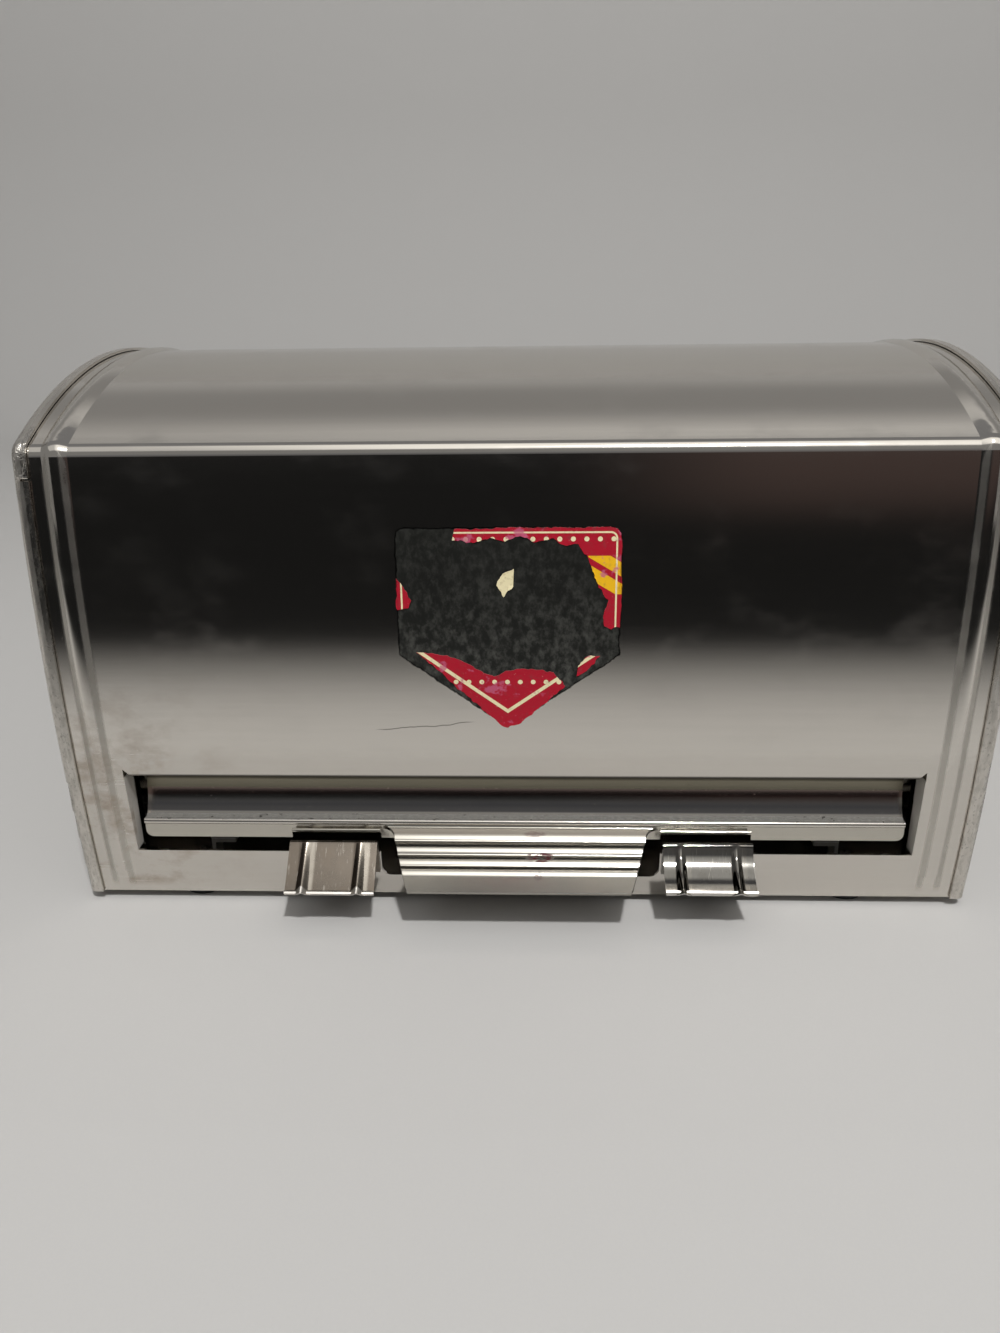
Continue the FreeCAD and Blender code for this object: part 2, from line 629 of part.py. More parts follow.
def clip_rib(side, x):
    """Rib that grows from the fold to its full height at the lip."""
    start, middle, lip, along, normal = clip_line(side)
    wires = []
    end = lip + along * (CLIP_SHEET * 0.7)
    for place, (width, height) in zip((start, middle, end), CLIP_RIB_STEPS):
        wires.append(rib_section(x, place, normal, CLIP_RIB_WIDTH * width, CLIP_RIB_HEIGHT * height))
    return Part.makeLoft(wires, True, False)


def rib_hollow(side, x):
    """The hollow that the pressed rib leaves in the scoop's underside, from its middle out of the lip."""
    start, middle, lip, along, normal = clip_line(side)
    under = normal * -CLIP_SHEET
    places = (middle, lip, lip + along * CLIP_SHEET * 2)
    steps = CLIP_RIB_STEPS[1:] + CLIP_RIB_STEPS[-1:]
    wires = []
    for place, (width, height) in zip(places, steps):
        inner = CLIP_RIB_WIDTH * width - CLIP_SHEET
        wires.append(rib_section(x, place + under, normal, inner, CLIP_RIB_HEIGHT * height))
    return Part.makeLoft(wires, True, True)


def clip_lip(side, x0, x1):
    """Turned-up rim at the scoop's end."""
    start, middle, lip, along, normal = clip_line(side)
    low = lip - normal * CLIP_SHEET
    out = lip + along * (CLIP_SHEET * 0.7)
    rise = Vector(0, 0, CLIP_LIP_RISE[side])
    inner = along * CLIP_SHEET
    corners = [lip - inner, low - inner, low, out - normal * (CLIP_SHEET / 2), out + rise, lip + rise]
    return polygon_x([(corner.y, corner.z) for corner in corners], x0, x1)


def catch_clip(side):
    """Leg on the front sheet, tight fold at the top, ribbed scoop and a turned-up lip."""
    sign = SIDES[side]
    x0 = sign * CLIP_CENTRE_X - CLIP_WIDTH / 2
    x1 = x0 + CLIP_WIDTH
    centre = clip_fold(side)
    leg = prism_x(band_face(GAP, GAP + CLIP_SHEET, HINGE_Z), x0, x1)
    leg = leg.common(box(x0, x1, -FAR, HOUSING_DEPTH / 2, CLIP_LEG_BOTTOM_Z, centre.z))
    fold = rod_x(CLIP_FOLD_RADIUS, x0, x1, centre.y, centre.z)
    parts = [leg, fold, clip_scoop(side, x0, x1), clip_lip(side, x0, x1)]
    rib_places = [sign * CLIP_CENTRE_X + place * CLIP_RIB_OFFSET for place in (-1, 1)]
    for x in rib_places:
        parts.append(clip_rib(side, x))
    clip = joined(parts)
    for x in rib_places:
        clip = clip.cut(rib_hollow(side, x))
    return clip


def clip_backing(side):
    """Plate behind the front sheet that stiffens it where the clip pulls."""
    sign = SIDES[side]
    x0 = sign * CLIP_CENTRE_X - CLIP_WIDTH / 2
    x1 = x0 + CLIP_WIDTH
    plate = prism_x(band_face(-SHEET - GAP - CLIP_SHEET, -SHEET - GAP, HINGE_Z), x0, x1)
    return plate.common(box(x0, x1, -FAR, HOUSING_DEPTH / 2, BACKING_BOTTOM_Z, BACKING_TOP_Z))


# ---------------------------------------------------------------- rotor

def gate_hollow(offset):
    """The hollow under the gate's flat upper part, on its front face or offset behind it: three points."""
    drop = GATE_HOLLOW_Y - GATE_BAND_FOOT_Y
    rise = GATE_HOLLOW_Z - GATE_BAND_FOOT_Z
    radius = (drop ** 2 + rise ** 2) / (2 * drop)
    lean = math.asin(rise / radius)
    foot = Vector(0, GATE_BAND_FOOT_Y, GATE_BAND_FOOT_Z)
    foot = foot + Vector(0, math.cos(lean), -math.sin(lean)) * offset
    middle = Vector(0, GATE_HOLLOW_Y + offset, GATE_HOLLOW_Z)
    back = GATE_HOLLOW_Y - GATE_TOP_Y
    height = math.sqrt((radius + offset) ** 2 - (radius + offset - back) ** 2)
    return Vector(0, GATE_TOP_Y + offset, GATE_HOLLOW_Z + height), middle, foot


def gate_section():
    """Section of the gate's sheet: flat top, hollow, ledge and strip, as a closed wire."""
    t = GATE_SHEET
    radius = GATE_BEAD_RADIUS
    edge, middle, foot = gate_hollow(0)
    rear_edge, rear_middle, rear_foot = gate_hollow(t)
    ledge_end = Vector(0, GATE_STRIP_Y + 0.2 * radius, GATE_BEAD_Z + 0.4 * radius)
    strip_top = Vector(0, GATE_STRIP_Y, GATE_BEAD_Z - 0.9 * radius)
    strip_foot = Vector(0, GATE_STRIP_Y, GATE_STRIP_BOTTOM_Z)
    back = Vector(0, t, 0)
    chain = [foot, ledge_end, strip_top, strip_foot, strip_foot + back, strip_top + back, rear_foot]
    top = Vector(0, GATE_TOP_Y, GATE_TOP_Z)
    edges = [Part.Arc(edge, middle, foot).toShape(), Part.Arc(rear_foot, rear_middle, rear_edge).toShape()]
    for part in (chain, [rear_edge, top + back, top, edge]):
        for first, second in zip(part, part[1:]):
            edges.append(Part.LineSegment(first, second).toShape())
    return Part.Wire(Part.__sortEdges__(edges))


def lever_line():
    """Upper line of the tab without its ridges: root, lip, direction and normal."""
    root = Vector(0, GATE_STRIP_Y, LEVER_ROOT_Z)
    lip = Vector(0, -LEVER_REACH, LEVER_LIP_Z)
    along = (lip - root).normalize()
    return root, lip, along, Vector(0, along.z, -along.y)


def shoulder_edges(lift):
    """The first ridge on the tab's top or, lifted below 0, its underside: flat, then rounded to a groove."""
    root, lip, along, normal = lever_line()
    width, height = RIDGES[0]
    level = normal * (height + lift)
    flat_end = root + along * (width * SHOULDER_SHARE) + level
    groove = root + along * (width * (1 - GROOVE_SHARE)) + normal * (height * GROOVE_RISE + lift)
    round_share = SHOULDER_SHARE + (1 - GROOVE_SHARE - SHOULDER_SHARE) * 0.55
    middle = root + along * (width * round_share) + normal * (height * 0.9 + lift)
    edges = [Part.Arc(flat_end, middle, groove).toShape()]
    if lift < 0:
        edges.append(Part.LineSegment(root + level, flat_end).toShape())
        return edges, root + level, groove
    lean = math.atan2(-along.z, -along.y)
    corner = Vector(0, GATE_STRIP_Y, LEVER_ROOT_Z + height / math.cos(lean))
    turn = math.pi / 2 - lean
    setback = LEVER_ROOT_FILLET * math.tan(turn / 2)
    top = corner + Vector(0, 0, setback)
    foot = corner + along * setback
    centre = top - Vector(0, LEVER_ROOT_FILLET, 0)
    bend = centre + Vector(0, math.cos(turn / 2), -math.sin(turn / 2)) * LEVER_ROOT_FILLET
    edges.append(Part.Arc(top, bend, foot).toShape())
    edges.append(Part.LineSegment(foot, flat_end).toShape())
    return edges, top, groove


def waved_edges(lift):
    """Ridges with rounded grooves between them, then the flat rim; and where the line starts."""
    root, lip, along, normal = lever_line()
    edges, first, start = shoulder_edges(lift)
    here = root + normal * lift + along * RIDGES[0][0]
    for width, height in RIDGES[1:]:
        flank = along * (width * GROOVE_SHARE) + normal * (height * GROOVE_RISE)
        down = along * (width * (1 - GROOVE_SHARE)) + normal * (height * GROOVE_RISE)
        edges.append(Part.Arc(start, here, here + flank).toShape())
        crest = here + along * (width / 2) + normal * height
        edges.append(Part.Arc(here + flank, crest, here + down).toShape())
        start = here + down
        here = here + along * width
    flat = here + along * (RIDGES[-1][0] * GROOVE_SHARE)
    edges.append(Part.Arc(start, here + normal * (RIDGES[-1][1] * 0.07), flat).toShape())
    edges.append(Part.LineSegment(flat, lip + normal * lift).toShape())
    return edges, first


def lever_plan():
    """Plan of the tab: flared root, slanting sides and rounded front corners."""
    back_y, flare_y, lip_y = GATE_STRIP_Y + LEVER_FLARE, GATE_STRIP_Y - LEVER_FLARE, -LEVER_REACH - SEAT
    root, end = LEVER_ROOT_HALF_WIDTH, LEVER_LIP_HALF_WIDTH
    wide = root + LEVER_FLARE
    bow = LEVER_FLARE * (1 - math.sqrt(0.5))
    edges = []
    for side in (-1, 1):
        corner, flare = Vector(side * wide, GATE_STRIP_Y, 0), Vector(side * root, flare_y, 0)
        hollow = Vector(side * (root + bow), GATE_STRIP_Y - bow, 0)
        edges.append(Part.LineSegment(Vector(side * wide, back_y, 0), corner).toShape())
        edges.append(Part.Arc(corner, hollow, flare).toShape())
        edges.append(Part.LineSegment(flare, Vector(side * end, lip_y, 0)).toShape())
    edges.append(Part.LineSegment(Vector(-wide, back_y, 0), Vector(wide, back_y, 0)).toShape())
    edges.append(Part.LineSegment(Vector(-end, lip_y, 0), Vector(end, lip_y, 0)).toShape())
    return Part.Face(Part.Wire(Part.__sortEdges__(edges)))


def lever_tab():
    """Corrugated thumb tab that grows out of the strip's middle."""
    root, lip, along, normal = lever_line()
    top_edges, top_start = waved_edges(0)
    under_edges, under_start = waved_edges(-LEVER_SHEET)
    rim = Part.LineSegment(lip, lip - normal * LEVER_SHEET).toShape()
    hidden = Part.LineSegment(top_start, under_start).toShape()
    outline = Part.Wire(Part.__sortEdges__(top_edges + under_edges + [rim, hidden]))
    wide = LEVER_ROOT_HALF_WIDTH + LEVER_FLARE
    body = prism_x(outline, -wide, wide)
    trim = lever_plan().extrude(Vector(0, 0, FAR))
    corners = []
    for edge in trim.Edges:
        room = edge.BoundBox
        if room.ZLength > FAR / 2 and room.YMax < -LEVER_REACH:
            corners.append(edge)
    return body.common(trim.makeFillet(LEVER_CORNER_RADIUS, corners))


def gate_plate():
    half = GATE_HALF_LENGTH
    sheet = prism_x(gate_section(), -half, half)
    bead = rod_x(GATE_BEAD_RADIUS, -half, half, GATE_STRIP_Y + 0.4 * GATE_BEAD_RADIUS, GATE_BEAD_Z)
    rolls = []
    for side in SIDES.values():
        sheet = sheet.cut(corner_cutter(side * half))
        x0 = side * CLIP_CENTRE_X - CLIP_WIDTH / 2 - RECESS_SIDE
        x1 = side * CLIP_CENTRE_X + CLIP_WIDTH / 2 + RECESS_SIDE
        sheet = sheet.cut(box(x0, x1, -FAR, FAR, GATE_STRIP_BOTTOM_Z - SEAT, RECESS_TOP_Z))
        roll_y = GATE_STRIP_Y + 0.2
        rolls.append(rod_x(RECESS_ROLL_RADIUS, x0, x1, roll_y, RECESS_TOP_Z + RECESS_ROLL_RADIUS / 3))
    return joined([sheet, bead, lever_tab()] + rolls)


def corner_cutter(x):
    """Takes the square lower corner off the strip at one end."""
    radius = GATE_CORNER_RADIUS
    inward = -radius if x > 0 else radius
    square = box(x, x + inward, -FAR, FAR, GATE_STRIP_BOTTOM_Z, GATE_STRIP_BOTTOM_Z + radius)
    round_part = rod_y(radius, x + inward, -FAR, FAR, GATE_STRIP_BOTTOM_Z + radius)
    return square.cut(round_part)


def drum_front(y, radius):
    """Point of a circle about the shaft, above it, at a depth."""
    return Vector(0, y, SHAFT_Z + math.sqrt(radius ** 2 - (y - SHAFT_Y) ** 2))


def ramp_end(drop, radius):
    """Where the pocket's floor, lowered by drop, meets a circle about the shaft in front."""
    slope = math.radians(POCKET_SLOPE)
    normal = Vector(0, math.sin(slope), math.cos(slope))
    foot = Vector(0, POCKET_WALL_Y - SHAFT_Y, POCKET_FLOOR_Z - SHAFT_Z)
    distance = foot.dot(normal) - drop
    reach = math.sqrt(radius ** 2 - distance ** 2)
    forward = Vector(0, -math.cos(slope), math.sin(slope))
    return Vector(0, SHAFT_Y, SHAFT_Z) + normal * distance + forward * reach


def drum_line(inset):
    """The drum's skin, inset by nothing or by its sheet: corner points and the two arcs' middles."""
    radius = DRUM_RADIUS - inset
    slope = math.radians(POCKET_SLOPE)
    wall_y = POCKET_WALL_Y + inset
    lap_y = GATE_TOP_Y + GATE_SHEET + GAP + inset
    floor_z = POCKET_FLOOR_Z - inset * (1 / math.cos(slope) + math.tan(slope))
    leg = [Vector(0, lap_y, DRUM_LAP_BOTTOM_Z), Vector(0, lap_y, DRUM_LAP_TOP_Z)]
    leg.append(Vector(0, *polar(DRUM_FRONT_ANGLE, radius)))
    crest = ramp_end(inset, radius)
    wall = [Vector(0, wall_y, floor_z), drum_front(wall_y, radius)]
    rear = Vector(0, *polar(DRUM_REAR_ANGLE, radius))
    front_middle = drum_front((leg[-1].y + crest.y) / 2, radius)
    rear_middle = drum_front((wall[-1].y + rear.y) / 2, radius)
    edges = [Part.LineSegment(leg[0], leg[1]).toShape(), Part.LineSegment(leg[1], leg[2]).toShape()]
    edges.append(Part.Arc(leg[2], front_middle, crest).toShape())
    edges.append(Part.LineSegment(crest, wall[0]).toShape())
    edges.append(Part.LineSegment(wall[0], wall[1]).toShape())
    edges.append(Part.Arc(wall[1], rear_middle, rear).toShape())
    return edges, leg[0], rear


def pocket_sheet():
    """Skin around the shaft with the groove for one straw, lapped behind the gate."""
    outside, out_front, out_rear = drum_line(0)
    inside, in_front, in_rear = drum_line(DRUM_SHEET)
    caps = [Part.LineSegment(out_front, in_front).toShape(), Part.LineSegment(out_rear, in_rear).toShape()]
    wire = Part.Wire(Part.__sortEdges__(outside + inside + caps))
    return prism_x(wire, -DRUM_HALF_LENGTH, DRUM_HALF_LENGTH)


def rotor_end():
    """Right end plate of the rotor with its hub, inside the skin and behind the gate."""
    x0 = DRUM_HALF_LENGTH - ROTOR_END_SHEET
    x1 = DRUM_HALF_LENGTH
    reach = ROTOR_END_RADIUS
    disc = rod_x(reach, x0, x1, SHAFT_Y, SHAFT_Z)
    front = GATE_HOLLOW_Y + GATE_SHEET + GAP
    inside = reach - SHEET
    arm = polygon_x([(front, DRUM_LAP_BOTTOM_Z - SHEET), (front, GATE_BAND_FOOT_Z + GATE_CORNER_RADIUS * 2),
                     (SHAFT_Y, SHAFT_Z - inside), (SHAFT_Y, SHAFT_Z + inside)], x0, x1)
    hub = rod_x(ROTOR_HUB_RADIUS, x0, x1 + ROTOR_HUB_LENGTH, SHAFT_Y, SHAFT_Z)
    plate = joined([disc.common(box(x0, x1, front, FAR, -FAR, FAR)), arm, hub])
    plate = plate.cut(rod_x(SHAFT_RADIUS, x0 - SHEET, x1 + 2 * ROTOR_HUB_LENGTH, SHAFT_Y, SHAFT_Z))
    pin_y, pin_z = polar(TRAVEL_PIN_ANGLE, TRAVEL_PIN_ORBIT)
    stud_y, stud_z = polar(SPRING_STUD_ANGLE, SPRING_STUD_ORBIT)
    plate = plate.cut(rod_x(TRAVEL_PIN_RADIUS, x0 - SHEET, x1 + SHEET, pin_y, pin_z))
    return plate.cut(rod_x(SPRING_STUD_RADIUS, x0 - SHEET, x1 + SHEET, stud_y, stud_z))


def rotor_shaft():
    end = CHEEK_X + CHEEK_SHEET + SHAFT_END
    return rod_x(SHAFT_RADIUS, -end, end, SHAFT_Y, SHAFT_Z)


def shaft_clips():
    """Retaining rings outside the cheeks."""
    rings = []
    x0 = CHEEK_X + CHEEK_SHEET + SEAT
    x1 = x0 + SHAFT_RING
    for side in (-1, 1):
        ring = rod_x(SHAFT_RADIUS + 2 * SHAFT_RING, side * x0, side * x1, SHAFT_Y, SHAFT_Z)
        hole = rod_x(SHAFT_RADIUS, side * (x0 - SHEET), side * (x1 + SHEET), SHAFT_Y, SHAFT_Z)
        rings.append(ring.cut(hole))
    return group(rings)


def travel_pin():
    """Right pin: headed inside the end plate, running in the cheek's curved slot."""
    y, z = polar(TRAVEL_PIN_ANGLE, TRAVEL_PIN_ORBIT)
    x0 = DRUM_HALF_LENGTH - ROTOR_END_SHEET
    shank = rod_x(TRAVEL_PIN_RADIUS, x0, CHEEK_X + CHEEK_SHEET + PIN_END, y, z)
    head = rod_x(TRAVEL_PIN_RADIUS + PIN_HEAD, x0 - PIN_HEAD, x0, y, z)
    return joined([shank, head])


def spring_stud():
    y, z = polar(SPRING_STUD_ANGLE, SPRING_STUD_ORBIT)
    x0 = SPRING_X - SPRING_RADIUS
    shank = rod_x(SPRING_STUD_RADIUS, x0, DRUM_HALF_LENGTH, y, z)
    head = rod_x(SPRING_STUD_RADIUS + PIN_HEAD, x0 - PIN_HEAD, x0, y, z)
    return joined([shank, head])


# ---------------------------------------------------------------- springs

def spring_ends():
    """Hook centres of the right spring: upper on the stud, lower in the anchor's hole."""
    y, z = polar(SPRING_STUD_ANGLE, SPRING_STUD_ORBIT)
    return Vector(SPRING_X, y, z), Vector(SPRING_X, ANCHOR_Y, BASE_TOP_Z + ANCHOR_HEIGHT - ANCHOR_PEG_DROP)


def hook(centre, towards):
    """Round wire eye about X."""
    eye = SPRING_STUD_RADIUS + SPRING_WIRE_RADIUS + GAP
    return Part.makeTorus(eye, SPRING_WIRE_RADIUS, centre, Vector(1, 0, 0)), centre + towards * eye


def return_spring():
    """Right extension spring: coil with an eye at each end."""
    upper, lower = spring_ends()
    axis = (lower - upper).normalize()
    eye_up, coil_start = hook(upper, axis)
    eye_down, coil_end = hook(lower, axis * -1)
    length = (coil_end - coil_start).Length
    coil_radius = SPRING_RADIUS - SPRING_WIRE_RADIUS
    lead = SPRING_LEAD
    pitch = (length - 2 * lead) / SPRING_TURNS
    helix = Part.makeHelix(pitch, length - 2 * lead, coil_radius)
    section = Part.Wire(Part.makeCircle(SPRING_WIRE_RADIUS, Vector(coil_radius, 0, 0), Vector(0, 1, 0)))
    coil = Part.Wire(helix.Edges).makePipeShell([section], True, True)
    coil.translate(Vector(0, 0, lead))
    rise = [Part.makeCylinder(SPRING_WIRE_RADIUS, lead, Vector(0, 0, z)) for z in (0, length - lead)]
    arms = [Part.makeCylinder(SPRING_WIRE_RADIUS, coil_radius, Vector(0, 0, z), Vector(1, 0, 0))
            for z in (lead, length - lead)]
    body = group([coil] + rise + arms)
    turn = FreeCAD.Rotation(Vector(0, 0, 1), axis)
    body.Placement = FreeCAD.Placement(coil_start, turn)
    pieces = [eye_up, eye_down] + list(body.SubShapes)
    return joined(pieces)


def spring_anchor():
    """Right anchor: small upright on the base pan with a peg for the spring's lower eye."""
    x1 = SPRING_X - SPRING_RADIUS - SEAT
    x0 = x1 - ANCHOR_SHEET
    y0, y1 = ANCHOR_Y - ANCHOR_WIDTH / 2, ANCHOR_Y + ANCHOR_WIDTH / 2
    peg_z = spring_ends()[1].z
    upright = box(x0, x1, y0, y1, BASE_TOP_Z, BASE_TOP_Z + ANCHOR_HEIGHT)
    foot = box(x0, x0 - ANCHOR_WIDTH, y0, y1, BASE_TOP_Z, BASE_TOP_Z + ANCHOR_SHEET)
    peg_x = SPRING_X + PIN_HEAD + SPRING_WIRE_RADIUS
    peg = rod_x(SPRING_STUD_RADIUS, x1 - ANCHOR_SHEET / 2, peg_x, ANCHOR_Y, peg_z)
    cap = rod_x(SPRING_STUD_RADIUS + PIN_HEAD, peg_x, peg_x + PIN_HEAD, ANCHOR_Y, peg_z)
    return joined([upright, foot, peg, cap])


# ---------------------------------------------------------------- inner frame and hopper

def travel_slot():
    """Curved slot for the right travel pin, long enough for the lever's travel."""
    radius = TRAVEL_PIN_RADIUS + TRAVEL_PIN_CLEARANCE
    start, end = TRAVEL_PIN_ANGLE, TRAVEL_PIN_ANGLE - LEVER_TRAVEL
    x0, x1 = CHEEK_X - SHEET, CHEEK_X + CHEEK_SHEET + SHEET
    tools = []
    for angle in (start, end):
        y, z = polar(angle, TRAVEL_PIN_ORBIT)
        tools.append(rod_x(radius, x0, x1, y, z))
    ring = rod_x(TRAVEL_PIN_ORBIT + radius, x0, x1, SHAFT_Y, SHAFT_Z)
    ring = ring.cut(rod_x(TRAVEL_PIN_ORBIT - radius, x0, x1, SHAFT_Y, SHAFT_Z))
    far = TRAVEL_PIN_ORBIT * 3
    wedge = polygon_x([(SHAFT_Y, SHAFT_Z), polar(start, far), polar(end, far)], x0, x1)
    return joined([ring.common(wedge)] + tools)


def cheek():
    """Right cheek: carries the shaft and the hopper, with a foot on the base pan."""
    x0, x1 = CHEEK_X, CHEEK_X + CHEEK_SHEET
    rear = HOUSING_DEPTH - CHEEK_REAR_MARGIN
    outline = [(CHEEK_FRONT_Y, BASE_TOP_Z), (rear, BASE_TOP_Z), (rear, CHEEK_TOP_Z),
               (CHEEK_TOP_FRONT_Y, CHEEK_TOP_Z), (CHEEK_TOP_FRONT_Y, CHEEK_NOSE_Z + CHEEK_NOSE_RISE),
               (CHEEK_FRONT_Y, CHEEK_NOSE_Z)]
    plate = polygon_x(outline, x0, x1)
    foot_y0, foot_y1 = HOPPER_LIP_Y + CHEEK_FOOT_MARGIN, rear - CHEEK_FOOT_MARGIN
    foot = box(x0 - CHEEK_FOOT_WIDTH, x1, foot_y0, foot_y1, BASE_TOP_Z, BASE_TOP_Z + CHEEK_SHEET)
    plate = joined([plate, foot])
    plate = plate.cut(rod_x(BUSH_RADIUS, x0 - SHEET, x1 + SHEET, SHAFT_Y, SHAFT_Z))
    return plate.cut(travel_slot())


def bush():
    """Right bush in the cheek, flanged on the inside."""
    x0 = CHEEK_X - BUSH_FLANGE
    flange = rod_x(BUSH_FLANGE_RADIUS, x0, CHEEK_X, SHAFT_Y, SHAFT_Z)
    barrel = rod_x(BUSH_RADIUS, x0, CHEEK_X + CHEEK_SHEET, SHAFT_Y, SHAFT_Z)
    bore = rod_x(SHAFT_RADIUS + SHAFT_CLEARANCE, x0 - SHEET, CHEEK_X + CHEEK_SHEET + SHEET, SHAFT_Y, SHAFT_Z)
    return joined([flange, barrel]).cut(bore)


def hopper_floor():
    """Sloping shelf with a front lip, a rear hem and side flanges on the cheeks."""
    t = HOPPER_SHEET
    half = CHEEK_X - GAP
    rear_y = HOUSING_DEPTH - HOPPER_REAR_MARGIN
    rear_z = HOPPER_LIP_Z + (rear_y - HOPPER_LIP_Y) * math.tan(math.radians(HOPPER_SLOPE))
    shelf = polygon_x([(HOPPER_LIP_Y, HOPPER_LIP_Z), (rear_y, rear_z), (rear_y, rear_z - t),
                       (HOPPER_LIP_Y, HOPPER_LIP_Z - t)], -half, half)
    lip = box(-half, half, HOPPER_LIP_Y, HOPPER_LIP_Y + t, HOPPER_LIP_Z - HOPPER_LIP_DROP, HOPPER_LIP_Z)
    hem = box(-half, half, rear_y - t, rear_y, rear_z - HOPPER_TURNDOWN, rear_z)
    flange = [(HOPPER_LIP_Y, HOPPER_LIP_Z), (rear_y, rear_z), (rear_y, rear_z - HOPPER_TURNDOWN),
              (HOPPER_LIP_Y, HOPPER_LIP_Z - HOPPER_LIP_DROP)]
    sides = []
    for side in (-1, 1):
        sides.append(polygon_x(flange, side * half, side * (half - t)))
    return joined([shelf, lip, hem] + sides)


def hopper_front_plate():
    """Plate that holds the straws back above the rotor."""
    t = HOPPER_SHEET
    half = CHEEK_X - GAP
    front = [(RETAINER_FOOT_Y, RETAINER_FOOT_Z), (RETAINER_FOOT_Y + t, RETAINER_FOOT_Z),
             (RETAINER_TOP_Y + t, RETAINER_TOP_Z), (RETAINER_TOP_Y, RETAINER_TOP_Z)]
    plate = polygon_x(front, -half, half)
    wings = []
    low = RETAINER_FOOT_Z + RETAINER_SIDE_RISE
    wing = [(RETAINER_FOOT_Y, low), (RETAINER_FOOT_Y + RETAINER_SIDE, low),
            (RETAINER_TOP_Y + RETAINER_SIDE, RETAINER_TOP_Z), (RETAINER_TOP_Y, RETAINER_TOP_Z)]
    for side in (-1, 1):
        wings.append(polygon_x(wing, side * half, side * (half - t)))
    return joined([plate] + wings)


# ---------------------------------------------------------------- loading door

def knuckles(first):
    """Every second knuckle of the hinge, starting with knuckle first."""
    step = HINGE_LENGTH / HINGE_KNUCKLES
    barrels = []
    for index in range(first, HINGE_KNUCKLES, 2):
        x0 = -HINGE_LENGTH / 2 + index * step + HINGE_KNUCKLE_GAP / 2
        x1 = x0 + step - HINGE_KNUCKLE_GAP
        barrels.append(rod_x(HINGE_BARREL_RADIUS, x0, x1, HINGE_Y, HINGE_Z))
    return barrels


def hinge_leaf(first, up):
    """Leaf on the outer face with its knuckles; up is 1 on the cover and -1 on the door."""
    half = HINGE_LENGTH / 2
    leaf_y = HOUSING_DEPTH
    barrels = knuckles(first)
    plate = box(-half, half, leaf_y, leaf_y + HINGE_LEAF, HINGE_Z + up * (HINGE_BARREL_RADIUS + SEAT),
                HINGE_Z + up * HINGE_LEAF_HEIGHT)
    neck_z0, neck_z1 = HINGE_Z + up * HINGE_BARREL_RADIUS / 2, HINGE_Z + up * (HINGE_BARREL_RADIUS + SEAT)
    necks = []
    for barrel in barrels:
        room = barrel.BoundBox
        necks.append(box(room.XMin, room.XMax, leaf_y, leaf_y + HINGE_LEAF + SEAT, neck_z0, neck_z1))
    bore = rod_x(HINGE_PIN_RADIUS + HINGE_PIN_CLEARANCE, -half - SHEET, half + SHEET, HINGE_Y, HINGE_Z)
    return joined([plate] + necks + barrels).cut(bore)


def hinge_rivet_places(up):
    """Places on the inner face; up is 1 for the cover's leaf and -1 for the door's."""
    reach = HINGE_LENGTH / 2 - HINGE_RIVET_MARGIN
    y, z = HOUSING_DEPTH - SHEET, HINGE_Z + up * HINGE_RIVET_RISE
    return [Vector(x, y, z) for x in spread(-reach, reach, HINGE_RIVETS)]


def hinge_rivets(up):
    stack = SHEET + HINGE_LEAF
    return group([rivet(place, stack, Vector(0, 1, 0)) for place in hinge_rivet_places(up)])


def hinge_rivet_holes(up):
    stack = SHEET + HINGE_LEAF
    holes = []
    for place in hinge_rivet_places(up):
        holes.append(rod_y(RIVET_RADIUS, place.x, place.y - SHEET, place.y + stack + SHEET, place.z))
    return group(holes)


def hinge_pin():
    return rod_x(HINGE_PIN_RADIUS, -HINGE_LENGTH / 2, HINGE_LENGTH / 2, HINGE_Y, HINGE_Z)


def rear_door():
    """Door sheet with side returns and a pull lip at its lower edge."""
    half = DOOR_HALF_WIDTH
    outer = HOUSING_DEPTH
    inner = HOUSING_DEPTH - SHEET
    sheet = box(-half, half, inner, outer, DOOR_BOTTOM_Z, DOOR_TOP_Z)
    pull = box(-DOOR_PULL_HALF_WIDTH, DOOR_PULL_HALF_WIDTH, inner, outer + DOOR_PULL_REACH, DOOR_BOTTOM_Z,
               DOOR_BOTTOM_Z + SHEET)
    hem = box(-DOOR_PULL_HALF_WIDTH, DOOR_PULL_HALF_WIDTH, outer + DOOR_PULL_REACH - SHEET,
              outer + DOOR_PULL_REACH, DOOR_BOTTOM_Z, DOOR_BOTTOM_Z + DOOR_PULL_HEM)
    low, high = BASE_TOP_Z + BASE_REAR_HEIGHT + DOOR_RETURN, DOOR_TOP_Z - DOOR_RETURN_MARGIN
    returns = []
    for side in (-1, 1):
        returns.append(box(side * half, side * (half - SHEET), inner - DOOR_RETURN, outer, low, high))
    return joined([sheet, pull, hem] + returns).cut(hinge_rivet_holes(-1))


# ---------------------------------------------------------------- all nodes

